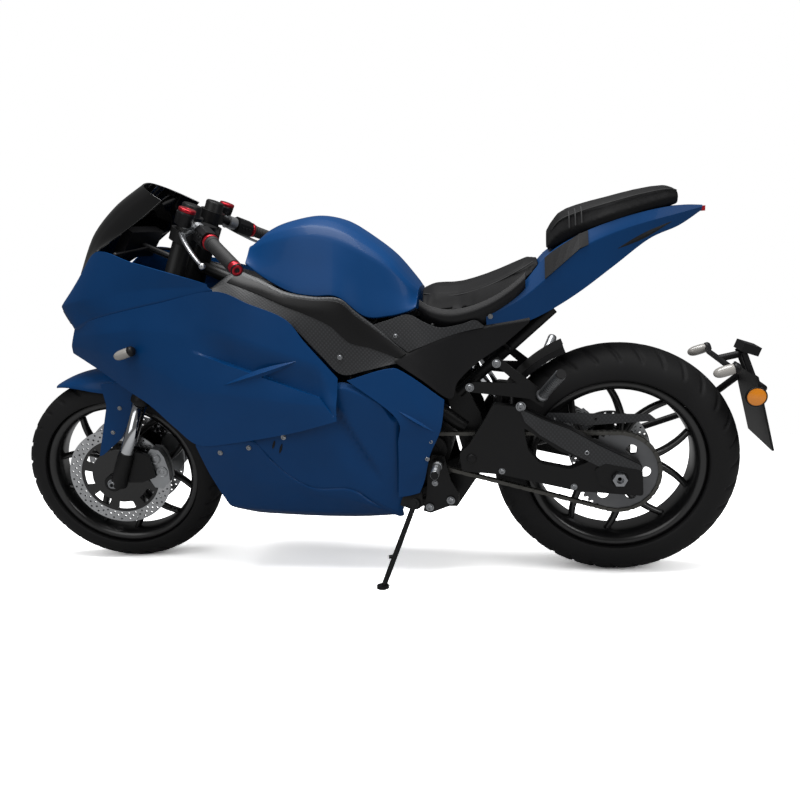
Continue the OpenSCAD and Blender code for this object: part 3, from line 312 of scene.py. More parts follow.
def outline_plate(loops, thick):
    """A flat plate from an outer loop and hole loops in x, y, filled by a 2D curve; z from 0 to thick."""
    data = bpy.data.curves.new("outline", "CURVE")
    data.dimensions, data.fill_mode, data.extrude = "2D", "BOTH", thick / 2
    for loop in loops:
        n = len(loop)
        spline = data.splines.new("POLY")
        spline.points.add(n - 1)
        spline.points.foreach_set("co", np.column_stack([loop, np.zeros(n), np.ones(n)]).ravel())
        spline.use_cyclic_u = True
    holder = bpy.data.objects.new("outline", data)
    scene.collection.objects.link(holder)
    made = holder.evaluated_get(bpy.context.evaluated_depsgraph_get()).to_mesh()
    points = np.array([v.co for v in made.vertices]) + [0, 0, thick / 2]
    faces = [tuple(p.vertices) for p in made.polygons]
    bpy.data.objects.remove(holder)
    bpy.data.curves.remove(data)
    return points, faces


def circle(r, n=48, x=0.0, y=0.0):
    """A loop of n points round a centre."""
    a = np.linspace(0, 2 * np.pi, n, endpoint=False)
    return np.stack([x + r * np.cos(a), y + r * np.sin(a)], -1)


def standing(plate, start, side):
    """A plate drawn in x, y stood up in the side view, its thickness running outward from start."""
    p = np.asarray(plate)
    return np.stack([p[:, 0], side * (start + p[:, 2]), p[:, 1]], -1)


def rounded(loop, r, n=5):
    """A loop whose corners are short curves that start r before the corner and end r after it."""
    q = np.asarray(loop, float)
    out = []
    for a, b, c in zip(np.roll(q, 1, 0), q, np.roll(q, -1, 0)):
        u, v = (a - b) / np.linalg.norm(a - b), (c - b) / np.linalg.norm(c - b)
        t = np.linspace(0, 1, n)[:, None]
        out.append((1 - t) ** 2 * (b + r * u) + 2 * t * (1 - t) * b + t ** 2 * (b + r * v))
    return np.concatenate(out)


def step(x, lo, hi):
    """A smooth ramp from 0 at lo to 1 at hi."""
    t = np.clip((x - lo) / (hi - lo), 0, 1)
    return t * t * (3 - 2 * t)


print("mesh makers ready")

# %% [markdown]
# ## Finishes
# Colours are sRGB hex values turned to linear once. Every finish has a pattern of its real size in
# millimetres: flake in the paint, weave in the trim, grain in the leather, brush lines in the steel.

# %%
ROUGH_SPREAD = 0.06
COAT_ROUGH = 0.05
BLOTCHES_PER_M = 9.0
WEAVE_WAVES = 160
TONE_A, TONE_B, TONE_OUT = 6, 7, 2


def linear(hex_colour):
    """sRGB hex to linear RGBA."""
    c = np.array([int(hex_colour[i:i + 2], 16) for i in (1, 3, 5)]) / 255
    c = np.where(c <= 0.04045, c / 12.92, ((c + 0.055) / 1.055) ** 2.4)
    return (*c.tolist(), 1.0)


def add(tree, kind, settings=None, links=()):
    """One shader node with its settings and its incoming links (socket, node, output)."""
    made = tree.nodes.new(kind)
    for key, value in (settings or {}).items():
        if isinstance(key, str) and hasattr(made, key) and key not in made.inputs:
            setattr(made, key, value)
        else:
            made.inputs[key].default_value = value
    for socket, source, out in links:
        tree.links.new(source.outputs[out], made.inputs[socket])
    return made


def grain(tree, place, pattern, grain_mm):
    """A finish's fine pattern and the name of its output: leather cells, woven strands or fine noise."""
    spot = [("Vector", place, "Vector")]
    if pattern == "cells":
        cells = {"Scale": 1000 / grain_mm, "feature": "DISTANCE_TO_EDGE"}
        return add(tree, "ShaderNodeTexVoronoi", cells, spot), "Distance"
    if pattern == "weave":
        strands = {"Scale": WEAVE_WAVES / grain_mm, "bands_direction": "DIAGONAL"}
        one = add(tree, "ShaderNodeTexWave", strands, spot)
        turned_back = add(tree, "ShaderNodeMapping", {"Scale": (-1, 1, 1)}, spot)
        two = add(tree, "ShaderNodeTexWave", strands, [("Vector", turned_back, "Vector")])
        crossed = [(0, one, "Fac"), (1, two, "Fac")]
        return add(tree, "ShaderNodeMath", {"operation": "MULTIPLY"}, crossed), "Value"
    return add(tree, "ShaderNodeTexNoise", {"Scale": 1000 / grain_mm, "Detail": 4.0}, spot), "Fac"


def finish(name, colour, dark, rough, grain_mm, bump, metal=0.0, stretch=(1, 1, 1), coat=0.0, spec=0.5,
           pattern="noise"):
    """A finish: two tones mixed by a slow noise, roughness and bump from a pattern of grain_mm size."""
    made = bpy.data.materials.new(name)
    made.use_nodes = True
    tree = made.node_tree
    tree.nodes.clear()
    place = add(tree, "ShaderNodeTexCoord")
    scaled = add(tree, "ShaderNodeMapping", {"Scale": stretch}, [("Vector", place, "Object")])
    tex, value = grain(tree, scaled, pattern, grain_mm)
    slow = add(tree, "ShaderNodeTexNoise", {"Scale": BLOTCHES_PER_M, "Detail": 3.0},
               [("Vector", place, "Object")])
    mixed_by = (tex, value) if pattern == "weave" else (slow, "Fac")
    tone = add(tree, "ShaderNodeMix", {"data_type": "RGBA"}, [("Factor", *mixed_by)])
    tone.inputs[TONE_A].default_value = linear(dark)
    tone.inputs[TONE_B].default_value = linear(colour)
    rubbed_by = (slow, "Fac") if bump < 0.02 else (tex, value)
    rub = add(tree, "ShaderNodeMapRange",
              {"To Min": max(rough - ROUGH_SPREAD, 0.02), "To Max": rough + ROUGH_SPREAD},
              [("Value", *rubbed_by)])
    relief = add(tree, "ShaderNodeBump", {"Strength": bump, "Distance": 0.0003 * grain_mm},
                 [("Height", tex, value)])
    body = add(tree, "ShaderNodeBsdfPrincipled",
               {"Metallic": metal, "Specular IOR Level": spec, "Coat Weight": coat,
                "Coat Roughness": COAT_ROUGH},
               [("Base Color", tone, TONE_OUT), ("Roughness", rub, "Result"), ("Normal", relief, "Normal")])
    add(tree, "ShaderNodeOutputMaterial", {}, [("Surface", body, "BSDF")])
    return made


LOOK = {
    "paint": finish("blue_gloss_paint", "#023564", "#022f5a", 0.42, 0.6, 0.015, coat=0.05, spec=0.14),
    "satin": finish("satin_black_paint", "#0d0d0e", "#09090a", 0.42, 0.8, 0.05, spec=0.25),
    "rim": finish("gloss_black_wheel_paint", "#09090a", "#070708", 0.3, 1.0, 0.03, coat=0.3),
    "carbon": finish("carbon_weave_trim", "#2b2c2f", "#17181a", 0.5, 2.5, 0.25, pattern="weave"),
    "plastic": finish("grained_black_plastic", "#0d0d0f", "#08080a", 0.5, 0.9, 0.25, spec=0.25,
                      pattern="cells"),
    "screen": finish("tinted_black_screen", "#030304", "#020202", 0.08, 4, 0.01, coat=0.5),
    "leather": finish("black_seat_leather", "#121213", "#0c0c0d", 0.7, 1.6, 0.5, spec=0.14, pattern="cells"),
    "tyre": finish("tyre_rubber", "#111112", "#0c0c0d", 0.66, 0.7, 0.2, spec=0.25),
    "rubber": finish("grip_rubber", "#151516", "#0e0e0f", 0.7, 0.8, 0.25),
    "steel": finish("machined_steel", "#b9bbbe", "#8f9194", 0.3, 1.2, 0.06, metal=1.0, stretch=(1, 1, 14)),
    "disc": finish("ground_disc_steel", "#c9cacc", "#a4a6a8", 0.28, 0.8, 0.05, metal=1.0),
    "alloy": finish("cast_aluminium", "#b4b6b8", "#8a8c8f", 0.42, 1.1, 0.22, metal=1.0),
    "chrome": finish("hard_chrome", "#d7d9dc", "#c4c6c9", 0.1, 2.0, 0.01, metal=1.0),
    "chain": finish("oiled_chain_steel", "#5f5e5b", "#3a3936", 0.42, 1.0, 0.12, metal=0.9),
    "red": finish("red_anodised_aluminium", "#b3202c", "#8d1420", 0.3, 0.7, 0.05, metal=0.75),
    "bolt": finish("zinc_bolt_steel", "#a7a9ac", "#7b7d80", 0.32, 0.9, 0.08, metal=1.0),
    "clear": finish("clear_lamp_lens", "#a8a6a2", "#6a6661", 0.1, 5, 0.3, coat=0.5, pattern="cells"),
    "lamp": finish("smoked_lamp_lens", "#14181d", "#0b0d10", 0.08, 6, 0.03, coat=0.5),
    "sprocket": finish("dark_sprocket_steel", "#77787a", "#505153", 0.4, 0.9, 0.08, metal=0.9),
    "amber": finish("amber_lens", "#e08a14", "#c26a0c", 0.14, 5, 0.3, coat=0.6, pattern="cells"),
    "red_lens": finish("red_lens", "#a8141c", "#7c0d14", 0.14, 5, 0.3, coat=0.6, pattern="cells"),
    "thread": finish("seat_thread", "#1e1e1f", "#161617", 0.8, 0.5, 0.3),
}
print(len(LOOK), "finishes")

# %% [markdown]
# ## Camera
# It stands to the left, behind the machine's middle and about 0.66 m up, and looks a little forward and
# down, as in the photograph. Its place, angles and focal length were fitted to both wheels.

# %%
CAMERA = np.array([493.0, -1891, 656])
ORIGIN_SHIFT = np.array([37.13, -123.16, 0])
YAW, PITCH, ROLL = np.radians([10.83, 5.4, -2.17])
FOCAL_PX, PHOTO_PX, SENSOR_MM, CLIP_M = 669.6, 800, 36, 60
forward = np.array([-np.sin(YAW) * np.cos(PITCH), np.cos(YAW) * np.cos(PITCH), -np.sin(PITCH)])
level = np.array([np.cos(YAW), np.sin(YAW), 0])
raised = np.cross(level, forward)
view = bpy.data.cameras.new("camera")
view.sensor_width, view.lens, view.clip_end = SENSOR_MM, SENSOR_MM * FOCAL_PX / PHOTO_PX, CLIP_M
camera = bpy.data.objects.new("camera", view)
pose = np.eye(4)
pose[:3, 0] = np.cos(ROLL) * level + np.sin(ROLL) * raised
pose[:3, 1] = -np.sin(ROLL) * level + np.cos(ROLL) * raised
pose[:3, 2] = -forward
pose[:3, 3] = (CAMERA - ORIGIN_SHIFT) / 1000
camera.matrix_world = pose.T
scene.collection.objects.link(camera)
scene.camera = camera
print("camera set")

# %% [markdown]
# ## Floor and light
# The floor is mid grey for light that bounces off it and brighter than white for the camera, so its
# lit part is white and only the shadow shows; it fades out into the white world. Polished pieces see
# a dimmer world than matt ones, which keeps the blacks deep. Three softboxes give the highlights.

# %%
FLOOR_GREY, FLOOR_SHOWN, FLOOR_HALF = 0.35, 2.2, 9
FADE_FROM, FADE_TO = 1.8, 3.2
WORLD_SOFT, WORLD_DIM = 0.38, 0.14
WHITE = (1, 1, 1, 1)
LIGHTS = [("top_softbox", (0.1, -0.6, 3.2), (0, 0, 0.5), 2.2, 140),
          ("left_softbox", (-1.2, -3.4, 2.0), (0, 0, 0.5), 2.6, 34),
          ("rear_softbox", (3.0, -1.8, 1.8), (0.3, 0, 0.5), 1.6, 28)]


def floor_finish():
    """Matt grey for bounced light, over-bright for the camera, clear away from the machine."""
    made = bpy.data.materials.new("pale_floor")
    made.use_nodes = True
    tree = made.node_tree
    tree.nodes.clear()
    matte = add(tree, "ShaderNodeBsdfDiffuse", {"Color": (FLOOR_GREY, FLOOR_GREY, FLOOR_GREY, 1)})
    shown = add(tree, "ShaderNodeBsdfDiffuse", {"Color": (FLOOR_SHOWN, FLOOR_SHOWN, FLOOR_SHOWN, 1)})
    ray = add(tree, "ShaderNodeLightPath")
    seen = add(tree, "ShaderNodeMixShader", {}, [(0, ray, "Is Camera Ray"), (1, matte, 0), (2, shown, 0)])
    place = add(tree, "ShaderNodeTexCoord")
    away = add(tree, "ShaderNodeVectorMath", {"operation": "LENGTH"}, [(0, place, "Object")])
    fade = add(tree, "ShaderNodeMapRange", {"From Min": FADE_FROM, "From Max": FADE_TO},
               [("Value", away, "Value")])
    gone = add(tree, "ShaderNodeBsdfTransparent")
    faded = add(tree, "ShaderNodeMixShader", {}, [(0, fade, "Result"), (1, seen, 0), (2, gone, 0)])
    add(tree, "ShaderNodeOutputMaterial", {}, [("Surface", faded, "Shader")])
    return made


def studio_world():
    """A soft white world, dimmer in reflections and plain white to the camera."""
    made = bpy.data.worlds.new("studio")
    made.use_nodes = True
    tree = made.node_tree
    tree.nodes.clear()
    soft = add(tree, "ShaderNodeBackground", {"Color": WHITE, "Strength": WORLD_SOFT})
    dim = add(tree, "ShaderNodeBackground", {"Color": WHITE, "Strength": WORLD_DIM})
    ray = add(tree, "ShaderNodeLightPath")
    sky = add(tree, "ShaderNodeMixShader", {}, [(0, ray, "Is Glossy Ray"), (1, soft, 0), (2, dim, 0)])
    glow = add(tree, "ShaderNodeEmission", {"Color": WHITE, "Strength": 1.0})
    seen = add(tree, "ShaderNodeMixShader", {}, [(0, ray, "Is Camera Ray"), (1, sky, 0), (2, glow, 0)])
    add(tree, "ShaderNodeOutputWorld", {}, [("Surface", seen, "Shader")])
    return made


def softbox(name, spot, target, size, watts):
    """A square lamp at a spot, its face turned to the target."""
    lamp = bpy.data.lights.new(name, "AREA")
    lamp.size, lamp.energy = size, watts
    holder = bpy.data.objects.new(name, lamp)
    z = np.array(spot, float) - target
    z = z / np.linalg.norm(z)
    x = np.cross([0, 0, 1], z)
    x = x / np.linalg.norm(x)
    m = np.eye(4)
    m[:3, 0], m[:3, 1], m[:3, 2], m[:3, 3] = x, np.cross(z, x), z, spot
    holder.matrix_world = m.T
    scene.collection.objects.link(holder)


plane = bpy.data.meshes.new("floor")
corners = [(FLOOR_HALF * x, FLOOR_HALF * y, 0) for x, y in ((-1, -1), (1, -1), (1, 1), (-1, 1))]
plane.from_pydata(corners, [], [(0, 1, 2, 3)])
plane.materials.append(floor_finish())
floor = bpy.data.objects.new("floor", plane)
scene.collection.objects.link(floor)
scene.world = studio_world()
for light in LIGHTS:
    softbox(*light)
scene.view_settings.view_transform = "Standard"
print(len(LIGHTS), "softboxes")

# %% [markdown]
# ## Finishes on the solids
# Each solid that stays in view gets the finish of the real piece; the rest are satin black.

# %%
SOLID_FINISH = {"rear_axle": "bolt", "front_axle": "bolt", "rear_caliper": "alloy", "rear_shock": "chrome",
                "chain_guard": "carbon", "tail_lamp": "red_lens", "rear_hugger": "plastic",
                "plate_hanger": "plastic", "instrument_pod": "plastic", "battery_pack": "plastic",
                "cockpit_trim": "plastic", "tail_vents": "plastic"}
for name, solid in frame["nodes"].items():
    solid.data.materials.clear()
    solid.data.materials.append(LOOK[SOLID_FINISH.get(name, "satin")])
print(len(frame["nodes"]), "solids dressed")

# %% [markdown]
# ## Lines of the panels
# Each panel is a skin through a few lines, from one of its edges to the opposite one. A point is x, half
# width, height. The fairing's top line is also the nose's lower line, so the two panels meet.

# %%
CREASE = [[-742, 95, 737], [-650, 140, 766], [-540, 176, 787], [-420, 198, 806], [-260, 214, 830]]
FAIRING = [
    [[-773, 78, 667], [-663, 130, 625], [-562, 170, 576], [-489, 193, 538], [-416, 212, 481],
     [-356, 222, 438], [-276, 225, 439], [-97, 222, 465], [23, 211, 492]],
    [[-764, 90, 690], [-648, 146, 680], [-530, 186, 664], [-430, 210, 628],
     [-340, 229, 585], [-255, 236, 575], [-180, 234, 562], [-80, 227, 545], [25, 208, 528]],
    [[-752, 96, 712], [-625, 157, 728], [-490, 194, 738], [-375, 214, 728],
     [-270, 223, 712], [-190, 222, 690], [-110, 216, 652], [-40, 209, 608], [28, 198, 560]],
    CREASE + [[-170, 207, 793], [-86, 202, 752], [-40, 199, 690], [31, 191, 598]]]
COWL = [[[-760, 0, 739]] + [[x - 2, w - 1, z + 3.5] for x, w, z in CREASE],
        [[-800, 0, 797], [-786, 72, 800], [-700, 125, 815], [-585, 162, 830], [-440, 193, 843],
         [-272, 212, 840]],
        [[-716, 0, 880], [-692, 92, 878], [-602, 140, 942], [-484, 185, 912], [-380, 206, 882],
         [-274, 211, 848]]]
SCREEN = [[[-721, 0, 883], [-702, 80, 883], [-655, 112, 913], [-607, 136, 943.8]],
          [[-660, 0, 985], [-645, 75, 985], [-600, 106, 985], [-530, 124, 985]],
          [[-584, 0, 1060], [-572, 66, 1055], [-530, 98, 1040], [-465, 118, 1022]],
          [[-500, 0, 1113], [-490, 55, 1104], [-455, 90, 1082], [-415, 106, 1058]]]
INNER = [[[-204, 206, 444], [-163, 194, 383], [-125, 180, 335], [-64, 166, 298], [30, 161, 293],
          [92, 148, 250], [146, 140, 216]],
         [[-200, 196, 470], [-110, 193, 500], [-30, 190, 530], [30, 186, 570], [94, 184, 546],
          [132, 182, 522], [158, 180, 480]]]
REAR = [[[213, 155, 277], [229, 160, 316], [248, 165, 386], [279, 170, 454], [292, 170, 530]],
        [[188, 158, 271], [198, 166, 340], [212, 174, 420], [232, 179, 490], [175, 176, 616]],
        [[156, 160, 266], [163, 168, 340], [169, 178, 420], [169, 186, 492], [52, 186, 590]]]
BELLY = [
    [[-303, 100, 200], [-265, 96, 191], [-215, 95, 187], [-150, 95, 184], [-95, 95, 182], [-45, 95, 181],
     [30, 94, 181], [90, 92, 183], [146, 88, 186]],
    [[-325, 150, 236], [-280, 146, 228], [-225, 142, 222], [-160, 138, 216], [-100, 133, 212],
     [-50, 128, 208], [30, 122, 204], [90, 116, 200], [145, 106, 191]],
    [[-350, 188, 340], [-290, 187, 332], [-230, 183, 322], [-170, 176, 306], [-110, 167, 290],
     [-60, 158, 268], [30, 153, 254], [85, 141, 229], [144, 114, 197]],
    [[-362, 219, 432], [-276, 220, 434], [-212, 211, 437], [-167, 196, 376], [-122, 179, 325],
     [-66, 166, 290], [28, 161, 285], [80, 148, 244], [143, 119, 202]]]
TRIM = [[[-262, 204, 826], [-170, 198, 789], [-88, 193, 748], [-58, 190, 716], [-8, 187, 656], [40, 184, 606],
         [100, 178, 612], [160, 172, 624]],
        [[-215, 150, 866], [-150, 164, 838], [-90, 172, 808], [-20, 176, 793], [45, 174, 785], [85, 168, 748],
         [128, 160, 712], [203, 153, 648]]]
COVER = [[[206, 155, 650], [220, 155, 656], [240, 155, 663], [262, 154, 671], [290, 153, 681],
          [325, 151, 691], [360, 147, 698], [392, 140, 702]],
         [[122, 156, 722], [165, 149, 733], [210, 143, 742], [250, 148, 722], [288, 151, 708],
          [340, 150, 714], [373, 146, 722], [394, 140, 706]]]
LOWER = [[[178, 169, 626], [238, 170, 583], [305, 164, 532], [326, 150, 572], [375, 139, 616],
          [440, 131, 658], [500, 124, 706]],
         [[174, 169, 632], [210, 155, 646], [262, 153, 667], [325, 150, 687], [394, 139, 697],
          [450, 131, 705], [503, 124, 712]]]
print("panel lines set")

# %% [markdown]
# ## Ways to press a panel
# Edges run on behind their neighbours, so no gap shows between two panels. A fold or a slit moves part
# of the skin inward; where the step is sharp, the grid is drawn again with a row along it.

# %%
def wrapped(lines):
    """Lines from the middle to the side, continued round from the right side to the left."""
    full = [np.asarray(line, float) for line in lines]
    return [np.concatenate([line[:0:-1], line * MIRROR]) for line in full]


def tucked(lines, row, lift, inward):
    """Lines with one more row that runs behind the neighbour: moved up or down, and inward."""
    edge = np.asarray(lines[row], float) * 1.0
    edge[:, 1] = np.maximum(edge[:, 1] - inward, 0)
    edge[:, 2] += lift
    return [edge] + list(lines) if row == 0 else list(lines) + [edge]


def longer(lines, end, shift):
    """Lines with one more point past an end (0 or -1), so that the panel runs on behind its neighbour."""
    more = [np.asarray(line[end], float) + shift for line in lines]
    return [[list(m)] + list(line) if end == 0 else list(line) + [list(m)] for m, line in zip(more, lines)]


def seam_row(grid, line, below):
    """The same skin drawn with one row, the one numbered below, lying on a side-view line z(x)."""
    line = np.asarray(line, float)
    n = len(grid)
    out = np.empty_like(grid)
    for c in range(grid.shape[1]):
        over = grid[:, c, 2] - np.interp(grid[:, c, 0], line[:, 0], line[:, 1])
        k = max(int(np.argmax(over > 0)), 1)
        cut = np.clip(k - 1 + over[k - 1] / (over[k - 1] - over[k]), 6, n - 7)
        rows = np.concatenate([np.linspace(0, cut, below + 1), np.linspace(cut, n - 1, n - below)[1:]])
        for d in range(3):
            out[:, c, d] = np.interp(rows, np.arange(n), grid[:, c, d])
    return out


def fold(grid, line, reach, depth, ramp):
    """A pressed fold along a side-view line: above it the skin drops over the ramp and eases out over
    the reach. The depth swells from 0 at the line's first point, and ends at 0 at its last."""
    knots = curve(line, 200)
    way = np.gradient(knots, axis=0)
    up = np.stack([-way[:, 1], way[:, 0]], -1) / np.linalg.norm(way, axis=1, keepdims=True)
    flat = grid[..., [0, 2]].reshape(-1, 2)
    near = np.array([np.linalg.norm(knots - q, axis=1).argmin() for q in flat])
    gap = np.einsum("ij,ij->i", flat - knots[near], up[near])
    along = near / (len(knots) - 1)
    swell = step(along, 0, 0.3) * (1 - step(along, 0.75, 1))
    sink = depth * swell * step(gap, 0, ramp) * (1 - step(gap, ramp, reach))
    return grid - normals(grid) * sink.reshape(grid.shape[:2] + (1,))


def on_skin(grid, line, n, lift=0.0):
    """Points of a side-view line laid on a grid: the four nearest grid points give the depth."""
    flat = grid.reshape(-1, 3)
    out = normals(grid).reshape(-1, 3)
    xz = curve(line, n)
    far = np.linalg.norm(flat[None, :, [0, 2]] - xz[:, None], axis=-1)
    near = np.argsort(far, axis=1)[:, :4]
    share = 1 / (np.take_along_axis(far, near, 1) + 0.05)
    share = share / share.sum(1, keepdims=True)
    depth = (flat[near, 1] * share).sum(1)
    return np.stack([xz[:, 0], depth, xz[:, 1]], -1) + lift * out[near[:, 0]]


def blade(grid, start, end, half, rise):
    """A raised fin on a skin: a pointed leaf between two side-view points, its ridge rise mm high."""
    a, b = np.asarray(start, float), np.asarray(end, float)
    up = np.array([a[1] - b[1], b[0] - a[0]]) / np.linalg.norm(b - a)
    u = np.linspace(0.02, 0.98, 41)
    swell = np.sin(np.pi * u)
    rows = []
    for v in np.linspace(-1, 1, 9):
        line = a + (b - a) * u[:, None] + up * (half * v * swell)[:, None]
        skin = on_skin(grid, line, len(u))
        skin[:, 1] -= rise * swell * (1 - abs(v)) - 1.0
        rows.append(skin)
    return np.array(rows)


print("panel tools ready")

# %% [markdown]
# ## Painted shells
# Injection-moulded panels, sprayed and lacquered. Each is a smooth surface through the same lines as
# its solid, given a wall and a small rounded edge that catches the light. The fairing has a slit: its
# skin sinks just above a line and comes out again further up.

# %%
WALL = 4.0
SLIT = np.array([[-900, 700], [-560, 712], [-420, 704], [-334, 684], [-182, 626], [-75, 580], [-15, 555],
                 [21, 497], [60, 430]], float)
LIP_ROW = 56
SLIT_DEPTH, SLIT_REACH = 19, 85
SLIT_OPENS, SLIT_CLOSES = (-342, -230), (-40, 26)
INNER_FOLD = [[130, 300], [80, 400], [40, 480], [10, 540]]
outer = seam_row(surface(left(FAIRING), 220, 110, 0.35), SLIT, LIP_ROW)
x, z = outer[..., 0], outer[..., 2]
above = z - np.interp(x, SLIT[:, 0], SLIT[:, 1])
sink = SLIT_DEPTH * step(x, *SLIT_OPENS) * (1 - step(x, *SLIT_CLOSES)) * (1 - step(above, 0, SLIT_REACH))
sink[:LIP_ROW + 1] = 0
fairing = outer - normals(outer) * sink[..., None]
both("painted_fairing", fairing, WALL, "paint", "blue_paint", "side_fairing_{}")
cowl = surface(wrapped(tucked(COWL, 0, -16, 7)), 161, 51, 0.75)
shell("painted_nose", cowl, WALL, "paint", "blue_paint", replaces=("front_cowl",))
lamp_lens = (cowl + 1.2 * normals(cowl))[20:31, 85:97]
both("headlamp_lens", lamp_lens, 2.5, "lamp", "clear_lens", "headlamps", bevel=0.8)
screen = surface(wrapped(SCREEN), 81, 41, 0.1)
shell("dark_windscreen", screen, WALL, "screen", "dark_screen", replaces=("windscreen",))
inner_lines = tucked(tucked(INNER, 0, -14, 7), -1, 14, 9)
inner = surface(left(longer(inner_lines, -1, [16, -7, 0])), 150, 60, 1.0)
inner = fold(inner, INNER_FOLD, 80, 10.0, 11.0)
both("painted_inner_panel", inner, WALL, "paint", "blue_paint", "inner_panel_{}")
rear = surface(left(REAR), 80, 40, 0.5)
both("painted_rear_panel", rear, WALL, "paint", "blue_paint", "rear_panel_{}")
belly_left = surface(left(tucked(BELLY, -1, 12, 8)), 90, 36, 0.6)
belly = np.concatenate([(belly_left * MIRROR)[::-1], belly_left])
shell("painted_belly_pan", belly, WALL, "paint", "blue_paint", replaces=("belly_pan",))
trim_lines = longer(tucked(TRIM, -1, 7, 9), 0, [-16, -5, 5])
trim = surface(left(longer(trim_lines, -1, [16, -7, 0])), 90, 30, 0.5)
both("trim_panel_skin", trim, WALL, "carbon", "carbon_trim", "trim_panel_{}")
both("side_cover_skin", surface(left(COVER), 70, 12, 0.5), WALL, "carbon", "carbon_trim", "side_cover_{}")
frame_cover = surface(left(tucked(LOWER, -1, 9, 6)), 70, 24, 0.7)
both("frame_cover_skin", frame_cover, WALL, "plastic", "black_plastic", "frame_cover_{}")
print("painted shells done")

# %% [markdown]
# ## Fins, band and louvres
# Small forms laid on the shells: a fin that bridges the fairing's slit, a second one on the rear panel,
# a satin band along the woven trim, and two dark louvres.

# %%
BAND_RISE, LOUVRE_R = 5.0, 3.4
LOUVRES = [[[-152, 438], [-160, 416]], [[-134, 429], [-144, 402]]]
both("fairing_fin", blade(outer, [-262, 596], [-62, 649], 10, 9), 3.0, "paint", "blue_paint", bevel=0.6)
both("rear_panel_fin", blade(rear, [172, 512], [268, 445], 6, 7), 2.5, "paint", "blue_paint", bevel=0.6)
low, high = (np.asarray(line, float) for line in TRIM)
band = surface(left([0.45 * low + 0.55 * high, high]), 90, 14, 1.0)
band[..., 1] -= BAND_RISE * np.sin(np.linspace(0.15, 0.85, 14) * np.pi)[:, None]
both("trim_band", band, 3.0, "satin", "black_paint")
for k, line in enumerate(LOUVRES):
    path = on_skin(inner, np.linspace(line[0], line[1], 12), 12, -0.5)
    p, f = sweep(path, LOUVRE_R * np.sin(np.linspace(0.1, 0.9, 12) * np.pi), 10)
    for side, word in SIDES:
        on_chassis(f"louvre_{k}_{word}", p * [1, -side, 1], facing(f, side), "plastic", "black_plastic")
print("fins and louvres done")

# %% [markdown]
# ## Tank and tail
# The tank cover is a closed form through cross sections that run from its nose to the seat. The tail
# is a thin shell over the seat rails: low edge, ridge, top, and round to the other side.

# %%
TANK = [[-205, 932, 80, 924, 118, 888], [-150, 972, 100, 936, 138, 850], [-80, 990, 113, 944, 156, 815],
        [-20, 993, 116, 943, 162, 803], [40, 976, 114, 928, 160, 797], [100, 936, 108, 896, 145, 745],
        [160, 884, 100, 856, 134, 741], [205, 826, 88, 808, 124, 748], [226, 797, 62, 786, 110, 756]]
TAIL = np.array([[400, 124, 746, 137, 726, 131, 703], [481, 116, 794, 131, 764, 121, 706],
                 [546, 106, 862, 125, 812, 113, 730], [620, 98, 905, 115, 872, 104, 772],
                 [700, 90, 932, 102, 905, 92, 828], [780, 76, 949, 85, 925, 74, 884],
                 [850, 57, 956, 62, 938, 50, 910], [903, 36, 953, 38, 949, 30, 941.0]])
TANK_CREASE = 0.7
x, top, shoulder_w, shoulder_z, foot_w, foot_z = curve(TANK, 80).T
drop = top - shoulder_z
half = [(0 * top, top), (shoulder_w * 0.3, top - drop * 0.04), (shoulder_w * 0.55, top - drop * 0.16),
        (shoulder_w * 0.85, top - drop * 0.5), (shoulder_w, shoulder_z),
        ((shoulder_w + foot_w) / 2 - 1, (shoulder_z + foot_z) / 2), (foot_w, foot_z),
        (foot_w - 12, foot_z - 6)]
arc = np.array([np.stack([x, -w, z], -1) for w, z in half[::-1]])
arc = np.concatenate([arc, (arc * MIRROR)[-2::-1]])
tank_skin = (1 - TANK_CREASE) * curve(arc, 90) + TANK_CREASE * straight(arc, 90)
rows, cols = tank_skin.shape[:2]
caps = [tuple(range(0, rows * cols, cols)), tuple(range(rows * cols - 1, 0, -cols))]
under = [(i, i + 1, (rows - 1) * cols + i + 1, (rows - 1) * cols + i) for i in range(cols - 1)]
tank_faces = [tuple(f) for f in grid_faces(rows, cols)] + caps + under
on_chassis("painted_tank_cover", tank_skin.reshape(-1, 3), tank_faces, "paint", "blue_paint",
           replaces=("tank",), bevel=2.5)
tail_side = [np.stack([TAIL[:, 0], -TAIL[:, w], TAIL[:, w + 1]], -1) for w in (5, 3, 1)]
tail_left = surface(tail_side, 140, 45, 0.9)
tail = np.concatenate([tail_left, (tail_left * MIRROR)[::-1]])
shell("painted_tail", tail, WALL, "paint", "blue_paint", replaces=("tail_cowl",))
# The scoop is painted shade: a thin leaf of black plastic raised on the tail, dark so that it stands for the
# shade inside the scoop's recess.
scoop_shade_leaf = blade(tail_left, [693, 861], [846, 926], 8, 4.0)
both("painted_tail_scoop_shade", scoop_shade_leaf, 2.0, "plastic", "black_plastic", bevel=0.4)
print("tank and tail done")

# %% [markdown]
# ## Padded seats
# Foam under a stretched leather cover. Each pad starts as a slightly smaller copy of its solid, is
# remeshed, and is blown up by a cloth simulation. The movement is evened out over neighbours and kept
# within a few millimetres, so the cover swells between its edges.

# %%
CLOTH_FRAMES, PRESSURE, SMOOTH_STEPS = 20, 4.0, 60
VOXEL, SWELL_MM = 0.0045, 6


def points_of(mesh):
    """A mesh's points as rows of x, y, z."""
    flat = np.empty(len(mesh.vertices) * 3)
    mesh.vertices.foreach_get("co", flat)
    return flat.reshape(-1, 3)


def blown_up(piece):
    """Where the piece's points lie once it is inflated as cloth without weight."""
    cloth = piece.modifiers.new("cloth", "CLOTH")
    cloth.settings.use_pressure, cloth.settings.uniform_pressure_force = True, PRESSURE
    cloth.settings.effector_weights.gravity = 0.0
    cloth.settings.quality = 5
    for f in range(1, CLOTH_FRAMES + 1):
        scene.frame_set(f)
    points = points_of(piece.evaluated_get(bpy.context.evaluated_depsgraph_get()).to_mesh())
    piece.modifiers.clear()
    scene.frame_set(1)
    return points


